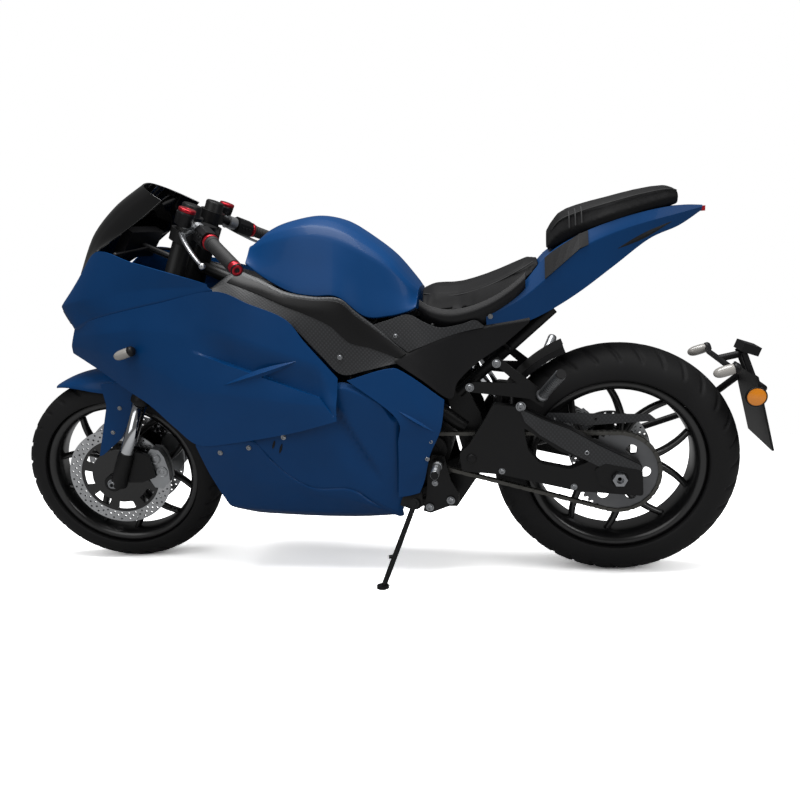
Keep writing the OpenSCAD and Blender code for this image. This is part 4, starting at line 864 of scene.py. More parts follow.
def evened(mesh, move):
    """Each point's movement mixed again and again with the mean of its neighbours'."""
    ends = np.empty(len(mesh.edges) * 2, int)
    mesh.edges.foreach_get("vertices", ends)
    a, b = ends.reshape(-1, 2).T
    links = np.bincount(ends, minlength=len(move))[:, None]
    for _ in range(SMOOTH_STEPS):
        pull = np.zeros_like(move)
        np.add.at(pull, a, move[b])
        np.add.at(pull, b, move[a])
        move = 0.4 * move + 0.6 * pull / links
    return move


def padded(name, node):
    """A cushion from a node's solid: shrink, remesh, inflate as cloth, even out, cap, subdivide once."""
    source = frame["nodes"][node].data
    co = points_of(source)
    middle = (co.min(0) + co.max(0)) / 2
    small = middle + (co - middle) * (1 - SWELL_MM / 1000 / np.maximum(np.ptp(co, axis=0), 0.05))
    piece = mesh_piece(name, small, [tuple(p.vertices) for p in source.polygons], LOOK["leather"], "chassis",
                       replaces=(node,), slot="leather")
    remesh = piece.modifiers.new("remesh", "REMESH")
    remesh.mode, remesh.voxel_size = "VOXEL", VOXEL
    graph = bpy.context.evaluated_depsgraph_get()
    dense = bpy.data.meshes.new_from_object(piece.evaluated_get(graph))
    piece.modifiers.clear()
    piece.data = dense
    start = points_of(dense)
    final = blown_up(piece)
    move = evened(dense, final - start)
    far = np.linalg.norm(move, axis=1, keepdims=True)
    move = move * np.minimum(1, SWELL_MM / 1000 / np.maximum(far, 1e-9))
    dense.vertices.foreach_set("co", (start + move).ravel())
    dense.update()
    dense.polygons.foreach_set("use_smooth", np.full(len(dense.polygons), True))
    sub = piece.modifiers.new("subdivision", "SUBSURF")
    sub.levels = sub.render_levels = 1


padded("rider_seat_pad", "rider_seat")
padded("pillion_seat_pad", "pillion_seat")
print("seats blown up")

# %% [markdown]
# ## Seat pan and seams
# The rider's pad sits in a moulded pan with a lip. Seams are sewn cords laid on the pads afterwards:
# one along each shoulder and three over the pillion pad. A row of a table is x, top, half width at the
# shoulder, half width at the foot, and the foot's height.

# %%
SEAT = np.array([[232, 793, 58, 112, 758], [268, 798, 82, 132, 740], [327, 797, 96, 142, 732],
                 [405, 816, 104, 139, 752], [481, 844, 98, 128, 798], [530, 862, 84, 108, 852.0]])
PILLION = np.array([[548, 912, 64, 88, 878], [575, 952, 80, 96, 905], [620, 970, 88, 104, 922],
                    [690, 984, 88, 106, 944], [760, 997, 76, 92, 960], [826, 1002, 54, 70, 972],
                    [854, 988, 34, 46, 973.0]])
STRAPS = (598, 612, 626)
STRAP_R, SEAM_R, SEAM_DROP = 1.6, 1.5, 0.28
rim = curve(SEAT, 40)[1:-6, [0, 3, 4]]
pan_lines = [rim + shift for shift in ([0, -18, -44], [0, 6, -8], [0, 7, 4], [0, -2, 18])]
both("seat_pan", surface(left(pan_lines), 60, 18, 0.6), 3.0, "plastic", "black_plastic")
pillion_rows = curve(PILLION, 200)
for k, x in enumerate(STRAPS):
    _, top, shoulder, foot, low = pillion_rows[np.abs(pillion_rows[:, 0] - x).argmin()]
    side = np.array([[x, foot, low + 6], [x, shoulder, top - (top - low) * SEAM_DROP],
                     [x, shoulder * 0.6, top - 2], [x, 0, top]])
    strap = curve(np.concatenate([side, (side * MIRROR)[-2::-1]]), 60)
    p, f = sweep(strap, STRAP_R, 10)
    on_chassis(f"pillion_strap_seam_{k}", p, f, "thread", "leather")
for name, table in (("rider", SEAT), ("pillion", PILLION)):
    x, top, shoulder, _, low = curve(table, 70)[5:-6].T
    for side, word in SIDES:
        p, f = sweep(np.stack([x, side * shoulder, top - (top - low) * SEAM_DROP], -1), SEAM_R, 8)
        on_chassis(f"{name}_seat_seam_{word}", p, f, "thread", "leather")
print("pan and seams done")

# %% [markdown]
# ## Tyres
# Rubber moulded in a heated press. The profile is round across; slanted grooves are pressed in by a
# wave of angle and side distance, so the tread runs right round without a join.

# %%
TYRE_SWEEP, GROOVE_DEPTH, RIM_LIP = 2.42, 4.0, 228


def tyre_mesh(r, w, count, turns=720, across_n=56):
    """A tyre: the ring's angle by the profile's angle; each of count grooves a side lowers the radius."""
    a = np.linspace(0, 2 * np.pi, turns, endpoint=False)[:, None]
    b = np.linspace(-TYRE_SWEEP, TYRE_SWEEP, across_n)[None, :]
    crown = w / 2
    s = b / 1.2
    wave = (a * count / (2 * np.pi) + 0.75 * np.abs(s) + 0.5 * (s > 0)) % 1.0
    slot_w = 0.10 * (1 - 0.45 * np.abs(s))
    cut = 1 - step(np.abs(wave - 0.5), slot_w, slot_w + 0.05)
    cut = cut * step(np.abs(s), 0.1, 0.17) * (1 - step(np.abs(s), 0.82, 0.94))
    ring = crown - GROOVE_DEPTH * cut
    radius = np.maximum((r - crown) + ring * np.cos(b), RIM_LIP + 0.6)
    y = ring * np.sin(b) + 0 * a
    grid = np.stack([radius * np.cos(a), y, radius * np.sin(a)], -1)
    return grid.transpose(1, 0, 2).reshape(-1, 3), grid_faces(across_n, turns, wrap=True)


p, f = tyre_mesh(FRONT_AXLE[2], 110, 30)
on_front_wheel("front_tyre_tread", p, f, "tyre", "tyre_rubber", replaces=("front_tyre",))
p, f = tyre_mesh(REAR_AXLE[2], 140, 32)
on_rear_wheel("rear_tyre_tread", p, f, "tyre", "tyre_rubber", replaces=("rear_tyre",))
print("tyres done")

# %% [markdown]
# ## Cast wheels
# Gravity-cast aluminium, painted black: a turned rim, a hub, and five spokes that fork halfway out.

# %%
SPOKES, BORE_R = 5, 9.6


def cast_wheel(lip, hub_r, hub_half):
    """Rim profile turned round the axle, hub, and forked spokes as flattened tubes."""
    rim = [(204, -lip + 8), (214, -lip + 3), (227, -lip), (228, -lip + 3), (218, -lip + 6), (213, -lip + 18),
           (207, 0), (213, lip - 18), (218, lip - 6), (228, lip - 3), (227, lip), (214, lip - 3),
           (204, lip - 8), (199, 0), (204, -lip + 8)]
    hub = [(BORE_R, -hub_half), (hub_r - 4, -hub_half), (hub_r, -hub_half + 4), (hub_r - 3, 0),
           (hub_r, hub_half - 4), (hub_r - 4, hub_half), (BORE_R, hub_half), (BORE_R, -hub_half)]
    sets = [turned(rim, 120), turned(hub, 64)]
    for k in range(SPOKES):
        for s in (-1, 1):
            path = curve([[hub_r - 6, s * 3, 0], [80, s * 7, 0], [118, s * 17, 0], [160, s * 46, 0],
                          [188, s * 76, 0]], 22)
            points, faces = sweep(path, np.linspace(12, 8.5, 22), 16, flat=1.35)
            sets.append((turn_z(points, 2 * np.pi * k / SPOKES), faces))
    points, faces = join(*sets)
    return points[:, [0, 2, 1]] * MIRROR, faces


p, f = cast_wheel(45, 40, 42)
on_front_wheel("front_cast_wheel", p, f, "rim", "black_paint", replaces=("front_rim",))
p, f = cast_wheel(58, 52, 60)
on_rear_wheel("rear_cast_wheel", p, f, "rim", "black_paint", replaces=("rear_rim",))
print("wheels done")

# %% [markdown]
# ## Drilled discs and carriers
# The friction rings are laser-cut plate with rows of holes; the black carriers are milled with windows.
# A row of holes is its radius, count, hole radius and turn.

# %%
FRONT_HOLES = [(142, 36, 3.2, 0), (132, 36, 3.2, 0.087), (123, 36, 3.0, 0)]
REAR_HOLES = [(103, 30, 3.0, 0), (94, 30, 3.0, 0.1), (86, 30, 2.6, 0)]
DISC_T, CARRIER_T, SLEEVE_R = 5, 4, 17.5
FRONT_DISC_Y, REAR_DISC_Y = 58, 78
WINDOW_SHARE, WINDOW_TOP, WINDOW_FOOT = 0.62, 0.92, 0.72


def disc_mesh(r_out, r_in, rows_of_holes):
    """A ring with rows of holes."""
    loops = [circle(r_out, 120), circle(r_in, 90)]
    for r, n, hole, turn in rows_of_holes:
        for a in np.arange(n) * 2 * np.pi / n + turn:
            loops.append(circle(hole, 10, r * np.cos(a), r * np.sin(a)))
    return outline_plate(loops, DISC_T)


def carrier_mesh(r_out, hub, count, boss_r, boss_len):
    """A star carrier: short arms between curved windows near its rim, and a boss towards the wheel."""
    loops = [circle(r_out, 96), circle(hub, 48)]
    for a in np.arange(count) * 2 * np.pi / count:
        t = a + np.linspace(-WINDOW_SHARE, WINDOW_SHARE, 12) * np.pi / count
        arc = np.stack([np.cos(t), np.sin(t)], -1)
        loops.append(np.concatenate([arc * r_out * WINDOW_TOP, arc[::-1] * r_out * WINDOW_FOOT]))
    boss = [(SLEEVE_R, -boss_len), (boss_r, -boss_len), (boss_r, 1), (SLEEVE_R, 1), (SLEEVE_R, -boss_len)]
    return join(outline_plate(loops, CARRIER_T), turned(boss, 40))


for side, word in SIDES:
    p, f = disc_mesh(150, 116, FRONT_HOLES)
    on_front_wheel(f"front_disc_{word}", standing(p, FRONT_DISC_Y, side), f, "disc", "steel", smooth=False,
                   replaces=("front_discs",))
    p, f = carrier_mesh(117, 24, 8, 36, 15)
    on_front_wheel(f"front_disc_carrier_{word}", standing(p, FRONT_DISC_Y + 0.5, side), f, "rim", "steel",
                   smooth=False)
p, f = disc_mesh(110, 80, REAR_HOLES)
on_rear_wheel("rear_disc_ring", standing(p, REAR_DISC_Y, 1), f, "disc", "steel", smooth=False,
              replaces=("rear_disc",))
p, f = carrier_mesh(81, 22, 6, 40, 17)
on_rear_wheel("rear_disc_carrier", standing(p, REAR_DISC_Y + 0.5, 1), f, "rim", "steel", smooth=False)
print("discs done")

# %% [markdown]
# ## Sprocket and chain
# A 520 roller chain on a toothed plate. Links sit one pitch apart on the belt line round both
# sprockets; inner and outer links take turns, and every pin carries a roller.

# %%
TEETH, MOTOR_TEETH, PITCH_MM = 41, 17, 15.875
SPROCKET_Y, SPROCKET_T, SPROCKET_BORE = 94, 6, 18
CHAIN_Y, LINK_R, LINK_STEPS = -97, 6.2, 24
INNER_PLATES, OUTER_PLATES = ((-4.9, -3.4), (3.4, 4.9)), ((-6.8, -5.2), (5.2, 6.8))
ROLLER_R, PIN_HALF = 4.6, 6.9
MOTOR = np.array([245.0, 378])
REAR_HUB = REAR_AXLE[[0, 2]]


def sprocket_loop(teeth):
    """Tooth outline: the radius swings between root and tip once per tooth, with flat roots."""
    a = np.linspace(0, 2 * np.pi, teeth * 10, endpoint=False)
    pitch_r = PITCH_MM / (2 * np.sin(np.pi / teeth))
    swing = np.clip(1.4 * np.cos(a * teeth), -1, 1)
    r = pitch_r - 5.2 + 3.6 * (swing + 1)
    return np.stack([r * np.cos(a), r * np.sin(a)], -1)


windows = [circle(14, 24, 68 * np.cos(a), 68 * np.sin(a)) for a in np.arange(6) * np.pi / 3]
plate = outline_plate([sprocket_loop(TEETH), circle(SPROCKET_BORE, 40)] + windows, SPROCKET_T)
boss = [(SPROCKET_BORE, -34), (44, -34), (44, 0), (SPROCKET_BORE, 0), (SPROCKET_BORE, -34)]
p, f = join(plate, turned(boss, 48))
on_rear_wheel("rear_sprocket_plate", standing(p, SPROCKET_Y, -1), f, "sprocket", "steel", smooth=False,
              replaces=("rear_sprocket",))
r_big, r_small = (PITCH_MM / (2 * np.sin(np.pi / n)) for n in (TEETH, MOTOR_TEETH))
run = np.linalg.norm(REAR_HUB - MOTOR)
lie = np.arctan2(*(REAR_HUB - MOTOR)[::-1])
tilt = np.arcsin((r_big - r_small) / run)
span = run * np.cos(tilt)
arcs = [r_big * (np.pi + 2 * tilt), span, r_small * (np.pi - 2 * tilt), span]
LINKS = 2 * int(round(sum(arcs) / PITCH_MM / 2))


def round_hub(hub, r, angle):
    """The point of a circle round a hub at an angle."""
    return hub + r * np.array([np.cos(angle), np.sin(angle)])


def on_belt(s):
    """A point on the belt line at distance s: big arc, lower run, small arc, upper run."""
    upper, lower = lie + np.pi / 2 + tilt, lie - np.pi / 2 - tilt
    ends = np.cumsum(arcs)
    if s < ends[0]:
        return round_hub(REAR_HUB, r_big, upper - s / r_big)
    if s < ends[1]:
        share = (s - ends[0]) / span
        return (1 - share) * round_hub(REAR_HUB, r_big, lower) + share * round_hub(MOTOR, r_small, lower)
    if s < ends[2]:
        return round_hub(MOTOR, r_small, lower - (s - ends[1]) / r_small)
    share = (s - ends[2]) / span
    return (1 - share) * round_hub(MOTOR, r_small, upper) + share * round_hub(REAR_HUB, r_big, upper)


pins = np.array([on_belt(k * sum(arcs) / LINKS) for k in range(LINKS)])
a = np.linspace(0, 2 * np.pi, LINK_STEPS, endpoint=False)
link_shape = np.stack([np.sign(np.cos(a)) * PITCH_MM / 2 + LINK_R * np.cos(a),
                       LINK_R * np.sin(a) * (0.75 + 0.25 * np.abs(np.cos(a)))], -1)
k = np.arange(LINK_STEPS)
after = (k + 1) % LINK_STEPS
link_faces = np.stack([k, after, LINK_STEPS + after, LINK_STEPS + k], -1).tolist()
link_faces += [k[::-1].tolist(), (k + LINK_STEPS).tolist()]
sets = []
for k in range(LINKS):
    a, b = pins[k], pins[(k + 1) % LINKS]
    way = (b - a) / np.linalg.norm(b - a)
    loop = (a + b) / 2 + link_shape @ np.array([way, [-way[1], way[0]]])
    for ys in OUTER_PLATES if k % 2 else INNER_PLATES:
        ring = [np.insert(loop, 1, CHAIN_Y + y, axis=1) for y in ys]
        sets.append((np.concatenate(ring), link_faces))
    sets.append(rod([a[0], CHAIN_Y - PIN_HALF, a[1]], [a[0], CHAIN_Y + PIN_HALF, a[1]], ROLLER_R, 12))
p, f = join(*sets)
on_chassis("roller_chain", p, f, "chain", "steel", smooth=False, replaces=("chain",))
print("chain of", LINKS, "links")

# %% [markdown]
# ## Fork
# Upside-down fork: satin black outer tubes above with a dust seal, hard-chromed sliders below, and
# black castings that clamp the axle and carry the calipers.

# %%
AXLE_A, _, AXLE_H = to_steering(FRONT_AXLE)
LEG_A = AXLE_A + 12
LEG_Y, LUG_Y, LUG_T = 100.0, 85, 13
TUBE = [(19.4, 574), (26, 574), (27.5, 577), (27.5, 588), (25, 592), (25, 1141), (22, 1145), (AXIS, 1145)]
SLIDER = [(AXIS, 300), (19, 300), (19, 576), (AXIS, 576)]
FOOT = [(19.2, 300), (24, 300), (25, 306), (23.5, 340), (23, 398), (21, 410), (19.2, 411)]
EYE = [(9.5, -15), (24, -15), (25.5, -12), (25.5, 12), (24, 15), (9.5, 15), (9.5, -15)]
LUG = [(26, 30), (60, 92), (92, 84), (116, 70), (122, 6), (80, -8), (40, -6)]
for side, word in SIDES:
    spot = np.array([LEG_A, side * LEG_Y, 0])
    p, f = turned(TUBE, 40)
    on_steering(f"fork_tube_{word}", p + spot, f, "satin", "cast_alloy", replaces=("fork_legs",), bevel=0.8)
    p, f = turned(SLIDER, 40)
    on_steering(f"fork_slider_{word}", p + spot, f, "chrome", "cast_alloy")
    cast, eye, lug = turned(FOOT, 36), turned(EYE, 36), outline_plate([LUG], LUG_T)
    eye_at = eye[0][:, [0, 2, 1]] * MIRROR + [AXLE_A, side * LEG_Y, AXLE_H]
    lug_at = turn_y(standing(lug[0], LUG_Y, side), -RAKE) + [AXLE_A, 0, AXLE_H]
    p, f = join((cast[0] + spot, cast[1]), (eye_at, eye[1]), (lug_at, lug[1]))
    on_steering(f"fork_foot_{word}", p, f, "satin", "cast_alloy", bevel=1.2)
print("fork done, axle at", round(AXLE_A, 1), round(AXLE_H, 1))

# %% [markdown]
# ## Calipers
# Each has two cast halves, one on either side of the disc, and round piston caps on the outer half. A cap
# is its x, height and radius.

# %%
FRONT_CALIPER = [(90, 44), (100, 70), (118, 90), (140, 84), (152, 62), (158, 20), (156, -14), (132, -38),
                 (108, -32), (98, -8)]
REAR_CALIPER = [(-112, 28), (-124, 58), (-118, 88), (-84, 112), (-56, 104), (-38, 84), (-66, 60), (-92, 40)]


def caliper(side, shape, halves, caps):
    """Two halves either side of the disc, each from one y to another, and round piston caps."""
    sets = []
    for start, end in halves:
        p, f = outline_plate([shape], end - start)
        sets.append((standing(p, start, side), f))
    for x, z, r in caps:
        cap = [(AXIS, 3), (r * 0.35, 3), (r * 0.42, 1.6), (r * 0.8, 1.6), (r * 0.9, 3), (r, 2.2), (r, 0)]
        p, f = turned(cap, 28)
        sets.append((standing(p + [x, z, 0], halves[-1][1], side), f))
    return join(*sets)


for side, word in SIDES:
    p, f = caliper(side, FRONT_CALIPER, ((44, 55), (66, 84)), [(124, 58, 17), (138, 16, 17)])
    mesh_piece(f"front_caliper_{word}", front_place(p), f, LOOK["alloy"], "steering",
               replaces=("front_calipers",), slot="cast_alloy", bevel=2.0)
p, f = caliper(1, REAR_CALIPER, ((66, 75), (86, 104)), [(-88, 82, 14)])
on_chassis("rear_caliper_body", p + REAR_AXLE, f, "alloy", "cast_alloy", bevel=2.0)
print("calipers done")

# %% [markdown]
# ## Bars and controls
# Clip-on bars with rubber grips, switch boxes in black plastic, machined levers and small fluid
# reservoirs with red anodised caps.

# %%
BAR_WAY = np.array([0.74, -0.80, -0.12]) / np.linalg.norm([0.74, -0.80, -0.12])
BAR_LEN, BAR_R, CLAMP_H = 275.0, 11.4, 1105
GRIP_LEN, GRIP_R, GRIP_START, RIB_PITCH = 126, 16.4, 147, 6
BAR_END = [(11.2, -3), (15.2, -3), (15.4, 0), (15.4, 12), (13, 18.2), (6, 18.4), (5, 15), (AXIS, 15)]
BAR_RING = [(17, 0), (20, 0), (21, 2), (21, 7), (20, 9), (17, 9), (17, 0)]
SWITCH_BOX = [(-21, -17), (-12, -23), (16, -22), (23, -10), (22, 14), (10, 22), (-14, 21), (-22, 10)]
LEVER_TIP = [(AXIS, -8), (4, -7), (7.2, -3.6), (8.4, 0), (7.2, 3.6), (4, 7), (AXIS, 8)]
CUP = [(AXIS, 0), (15, 0), (18, 4), (20.5, 30), (20.5, 36), (AXIS, 36)]
CUP_CAP = [(20, 36), (21, 37), (21, 43), (19.5, 44.6), (7, 44.8), (6, 43.6), (AXIS, 43.6)]


def on_bar(side, d, back=0.0, up=0.0):
    """A point of the steering frame at distance d along a bar from its clamp, moved back and up."""
    return (np.array([LEG_A, -LEG_Y, CLAMP_H]) + BAR_WAY * d) * [1, -side, 1] + [back, 0, up]


def dress_bar(side, word):
    """Grip, end weight, ring, switch box, master cylinder, lever and reservoir of one bar."""
    at = partial(on_bar, side)
    d = np.linspace(0, GRIP_LEN, 127)
    rib = GRIP_R + 0.6 * np.cos(d * 2 * np.pi / RIB_PITCH) + 2.6 * (1 - step(d, 3, 9))
    p, f = turned(np.concatenate([[(BAR_R, 0)], np.column_stack([rib, d]), [(BAR_R, GRIP_LEN)]]), 40)
    on_steering(f"grip_{word}", aim(p, at(GRIP_START), at(BAR_LEN)), f, "rubber", "grip_rubber",
                replaces=("grips",))
    p, f = turned(BAR_END, 40)
    on_steering(f"bar_end_{word}", aim(p, at(BAR_LEN), at(BAR_LEN + 20)), f, "red", "cast_alloy")
    p, f = turned(BAR_RING, 40)
    on_steering(f"bar_ring_{word}", aim(p, at(136), at(150)), f, "red", "cast_alloy")
    knobs = [rod([-23.4, 0, z], [-19, 0, z], 4, 16) for z in (12, 24, 36)]
    p, f = join(outline_plate([SWITCH_BOX, circle(BAR_R, 28)], 46), *knobs)
    on_steering(f"switch_box_{word}", aim(p, at(87), at(134)), f, "plastic", "black_plastic",
                replaces=("bar_controls",), bevel=2.5)
    clamp, clamp_f = outline_plate([circle(17.5, 40), circle(BAR_R, 28)], 24)
    cylinder = rod(at(68, -16, 2), at(104, -54, 8), 9.5)
    perch = sweep(curve([at(68, -15, -3), at(92, -38, -8), at(120, -60, -14)], 14), 8.5, 14)
    p, f = join((aim(clamp, at(57), at(82)), clamp_f), cylinder, perch)
    on_steering(f"master_cylinder_{word}", p, f, "alloy", "cast_alloy", bevel=1.2)
    path = curve([at(112, -60, -12), at(150, -66, -18), at(200, -68, -24), at(240, -66, -28),
                  at(263, -66, -28)], 30)
    tip, tip_f = turned(LEVER_TIP, 20)
    p, f = join(sweep(path, np.linspace(8, 5.5, 30), 14, flat=0.7), (tip + at(265, -66, -28), tip_f))
    on_steering(f"lever_{word}", p, f, "steel", "cast_alloy")
    foot = at(106, -58, 5)
    p, f = turned(CUP, 36)
    on_steering(f"reservoir_{word}", p + foot, f, "plastic", "black_plastic")
    p, f = turned(CUP_CAP, 36)
    on_steering(f"reservoir_cap_{word}", p + foot, f, "red", "cast_alloy")


for side, word in SIDES:
    dress_bar(side, word)
print("bars done")

# %% [markdown]
# ## Pegs
# Cast alloy foot pegs with turned grooves and a collar at the root. The rider's stand straight out, and
# the pillion's also rise to the rear.

# %%
GROOVE_PITCH = 5
PEGS = [("rider", (262, -150.5, 350), (264, -222, 352), 70, 10.2),
        ("pillion", (529, -154, 533), (569, -241, 604), None, 12.3)]


def knurled(length, r):
    """A peg: the radius swells and falls once per groove, with a collar at the root."""
    s = np.linspace(0, length, 60)
    rad = r + 0.9 * np.cos(s * 2 * np.pi / GROOVE_PITCH) + 2.5 * (1 - step(s, 3, 8))
    end = [(r * 0.7, length + 1.5), (AXIS, length + 1.5)]
    return turned(np.concatenate([[(AXIS, 0)], np.column_stack([rad, s]), end]), 24)


for side, word in SIDES:
    for who, start, end, length, r in PEGS:
        p, f = knurled(length or float(np.linalg.norm(np.subtract(end, start))), r)
        on_chassis(f"{who}_peg_grip_{word}", aim(p, start, end) * [1, -side, 1], facing(f, side), "alloy",
                   "cast_alloy")
print("pegs done")

# %% [markdown]
# ## Turn signals and reflectors
# Turn signals with ribbed clear lenses on black stalks, an amber side reflector in a black ring, and a
# red one on the plate's back. A lamp's row is x, distance out, height, and where its stalk starts.

# %%
LAMPS = [("front", -530, 208, 682, 190.4), ("rear", 949, 130, 576, 90.8)]
LAMP_RISE, LAMP_STRETCH = 0.3, 1.12
LENS_R, LENS_HALF = 13, 26
LAMP_BASE = [(AXIS, 0), (12.5, 0), (13.6, 1), (12.9, 9), (9, 13), (AXIS, 13)]
DISH = [(AXIS, 8), (20, 7.2), (21.5, 6.6), (21.5, 0), (AXIS, 0)]
DISH_RING = [(21.5, 0), (24, 0), (24, 7), (23, 8), (21.5, 7.4), (21.5, 0)]
DISH_AT = (1026, 100, 505)
RED_LOOP = [(-20, -38), (20, -38), (22, -36), (22, -2), (20, 0), (-20, 0), (-22, -2), (-22, -36)]
RED_TILT, RED_AT = np.radians(14), np.array([1050, 0, 470])
s = np.linspace(0.5 - LENS_HALF, LENS_HALF - 0.5, 40)
lens_r = LENS_R * np.sqrt(np.maximum(1 - (np.abs(s) / LENS_HALF) ** 3.2, 0.002)) + 0.25 * np.cos(s * 2.2)
lens_end = LENS_HALF - 0.2
lens_profile = np.concatenate([[(AXIS, -lens_end)], np.column_stack([lens_r, s]), [(AXIS, lens_end)]])
for where, x, w, z, root in LAMPS:
    for side, word in SIDES:
        p, f = turned(lens_profile, 28)
        p = aim(p * [1, 1, LAMP_STRETCH], [x, 0, z], [x + 1, 0, z + LAMP_RISE]) + [0, side * w, 0]
        on_chassis(f"{where}_signal_lens_{word}", p, f, "clear", "amber_lens", replaces=("indicators",))
        path = [[x + 20, side * (w - 4), z + 20 * LAMP_RISE], [x + 19, side * (w + root) / 2, z + 4],
                [x + 16, side * root, z + 2]]
        stalk = sweep(curve(path, 14), np.linspace(7.5, 5.5, 14), 16)
        base, base_f = turned(LAMP_BASE, 28)
        base = aim(base, [x + 17, 0, z + 17 * LAMP_RISE], [x + 18, 0, z + 18 * LAMP_RISE])
        p, f = join(stalk, (base + [0, side * w, 0], base_f))
        on_chassis(f"{where}_signal_stalk_{word}", p, f, "plastic", "black_plastic")
for name, profile, look, slot in (("amber_reflector", DISH, "amber", "amber_lens"),
                                  ("reflector_ring", DISH_RING, "plastic", "black_plastic")):
    p, f = turned(profile, 48)
    p = standing(p, DISH_AT[1], -1) + [DISH_AT[0], 0, DISH_AT[2]]
    on_chassis(name, p, f, look, slot, replaces=("reflectors",))
p, f = outline_plate([RED_LOOP], 6.6)
p = turn_y(np.stack([2.3 + p[:, 2], p[:, 0], p[:, 1] - 41], -1), -RED_TILT) + RED_AT
on_chassis("red_reflector", p, f, "red_lens", "red_lens", bevel=1.2)
print("signals and reflectors done")

# %% [markdown]
# ## Swingarm
# Two cast side plates with a long window, tied by a cross tube, with a pivot sleeve on each side. A woven
# carbon cover lies along the upper arm, and a raised plate surrounds the axle.

# %%
ARM = [(324, 332), (320, 382), (344, 402), (390, 474), (408, 508), (472, 500), (535, 468), (594, 444),
       (663, 402), (767, 348), (771, 266), (613, 278), (426, 322)]
ARM_WINDOW = [(483, 447), (570, 384), (642, 357), (594, 336), (521, 352), (492, 389)]
ARM_COVER = [(474, 496), (535, 465), (594, 441), (663, 399), (765, 346), (763, 320), (673, 340), (587, 386),
             (522, 428), (486, 462)]
AXLE_PLATE = [(654, 337), (678, 352), (765, 334), (768, 272), (714, 272), (666, 298)]
PIVOT = (350, 366)
ARM_IN, ARM_T, TIE_R = 112, 28, 12
arm_loops = [rounded(ARM, 9), rounded(ARM_WINDOW, 9), circle(12.5, 30, *PIVOT), circle(9.5, 30, *REAR_HUB)]
PLATES = [("arm_plate", arm_loops, ARM_IN, ARM_T, "satin", "black_paint"),
          ("arm_cover", [rounded(ARM_COVER, 6)], ARM_IN + ARM_T, 2.5, "carbon", "carbon_trim"),
          ("axle_plate", [rounded(AXLE_PLATE, 6), circle(21, 40, *REAR_HUB)], ARM_IN + ARM_T, 4, "satin",
           "black_paint")]
for side, word in SIDES:
    for name, loops, start, thick, look, slot in PLATES:
        p, f = outline_plate(loops, thick)
        on_chassis(f"{name}_{word}", standing(p, start, side), facing(f, side), look, slot, smooth=False,
                   bevel=min(2.5, thick / 3), replaces=("swingarm",) if name == "arm_plate" else ())
TIES = [((416, 486), -113, 113), (PIVOT, -144, -76), (PIVOT, 76, 144)]
p, f = join(*[rod([x, start, z], [x, end, z], TIE_R) for (x, z), start, end in TIES])
on_chassis("arm_ties", p, f, "satin", "black_paint", replaces=("swingarm",))
print("swingarm done")

# %% [markdown]
# ## Front fender
# A pressed shell over the tyre, pointed at the front and deeper towards the fork, with a guard plate on
# each side that is bolted to the fork leg. Angles are degrees round the axle, from the rear upward.

# %%
FENDER_TIP, FENDER_END, FENDER_FULL, FENDER_DEEPEST = 119.0, 52.0, 92, 86
FENDER_HALF, FENDER_DEPTH, FENDER_R = 68.0, 52.0, 315.0
GUARD = [(8, 292), (112, 290), (92, 250), (76, 191), (36, 125), (-30, 76), (-42, 73), (12, 226)]
GUARD_IN, GUARD_T = 67, 7.5
turn = np.linspace(FENDER_TIP, FENDER_END, 70)
narrowing = np.clip((turn - FENDER_FULL) / (FENDER_TIP + 0.3 - FENDER_FULL), 0, 1)
wide = FENDER_HALF * np.sqrt(1 - narrowing ** 2)
deep = FENDER_DEPTH * step(-turn, -FENDER_TIP - 4, -FENDER_DEEPEST) + 1
v = np.linspace(1, -1, 33)[:, None] * np.pi / 2
r = FENDER_R - deep * (1 - np.cos(v))
a = np.radians(turn)
arch = np.stack([r * np.cos(a), wide * np.sin(v), r * np.sin(a)], -1)
p, f = shell_mesh(arch, WALL)
mesh_piece("painted_fender", front_place(p), f, LOOK["paint"], "steering", replaces=("front_fender",),
           slot="blue_paint", bevel=1.0)
for side, word in SIDES:
    p, f = outline_plate([rounded(GUARD, 5)], GUARD_T)
    mesh_piece(f"fork_guard_{word}", front_place(standing(p, GUARD_IN, side)), facing(f, side), LOOK["paint"],
               "steering", smooth=False, replaces=("front_fender",), slot="blue_paint", bevel=1.5)
print("fender done")

# %% [markdown]
# ## Bolts
# Cap-head screws hold the panels, brackets and plates: a turned head with a hexagon socket, set on the
# face it fastens. Each row is x, distance out to the left, height and head radius. Two more on the
# belly find their distance from its skin.

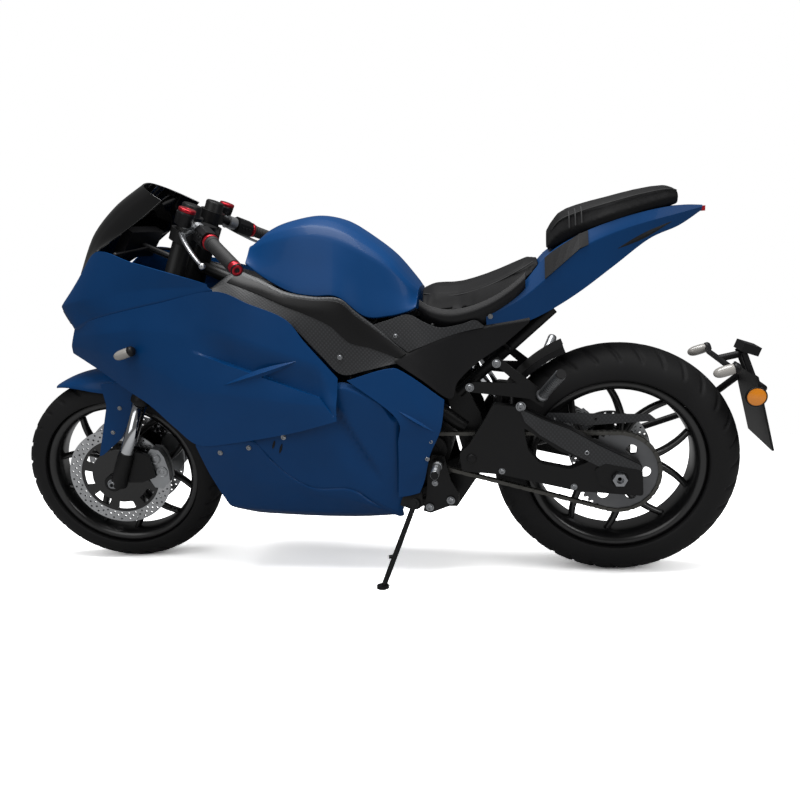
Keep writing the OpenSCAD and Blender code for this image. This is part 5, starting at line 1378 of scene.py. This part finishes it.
# %%
BOLTS = [(40, 184.5, 650, 5), (177, 152, 692, 5), (410, 137, 728, 4.5), (-128, 193, 446, 5),
         (252, 166, 422, 5),
         (239, 163.5, 375, 5), (426, 140, 332, 6), (635, 140, 381, 6), (604, 140, 290, 6), (477, 140, 502, 9),
         (233, 130, 226, 8), (290, 130, 246, 8), (250, 126, 293, 6), (421, 138, 612, 8), (353, 138, 553, 8)]
BELLY_BOLTS = [(-220, 424, 5), (-298, 413, 5)]
GUARD_BOLTS, GUARD_BOLT_R = [(-664, 510), (-699, 438)], 4.5
AXLE_BOLT_Y, AXLE_BOLT_R = 115, 11
NUT_R, NUT_BORE, NUT_T, NUT_Y = 18, 9, 9, 149


def bolt(r):
    """A cap-head screw standing on z = 0: washer, head with a rounded rim, hexagon socket sunk in it."""
    n = 36
    a = np.linspace(0, 2 * np.pi, n, endpoint=False)
    hexagon = 0.5 * r / np.maximum(np.cos((a + np.pi / 6) % (np.pi / 3) - np.pi / 6), 0.5)
    rings = [(1.35 * r, -0.4), (1.35 * r, 1), (r, 1), (r, 0.7 * r), (0.88 * r, 0.82 * r), (hexagon, 0.82 * r),
             (hexagon, 0.35 * r), (1e-3, 0.35 * r)]
    grid = np.array([np.stack([q * np.cos(a), q * np.sin(a), np.full(n, h)], -1) for q, h in rings])
    return grid.reshape(-1, 3), grid_faces(len(rings), n, wrap=True, flip=True)


def bolt_at(x, w, z, r, side):
    """A bolt set in the side view at x and z, its head pointing out from distance w."""
    p, f = bolt(r)
    return aim(p, [x, side * w, z], [x, side * (w + 10), z]), f


for x, z, r in BELLY_BOLTS:
    BOLTS.append((x, 0.5 - on_skin(belly_left, [[x, z], [x + 1, z]], 2)[0, 1], z, r))
sets = [bolt_at(*row, side) for row in BOLTS for side, _ in SIDES]
nut, nut_f = outline_plate([circle(NUT_R, 6), circle(NUT_BORE, 30)], NUT_T)
sets += [(standing(nut, NUT_Y, side) + REAR_AXLE, nut_f) for side, _ in SIDES]
p, f = join(*sets)
on_chassis("panel_bolts", p, f, "bolt", "steel", smooth=False)
sets = []
for side, _ in SIDES:
    sets += [bolt_at(x, GUARD_IN + GUARD_T + 0.2, z, GUARD_BOLT_R, side) for x, z in GUARD_BOLTS]
    sets.append(bolt_at(FRONT_AXLE[0], AXLE_BOLT_Y, FRONT_AXLE[2], AXLE_BOLT_R, side))
p, f = join(*sets)
mesh_piece("fork_bolts", parked(straight_front(p)), f, LOOK["bolt"], "steering", smooth=False, slot="steel")
print("bolts done")
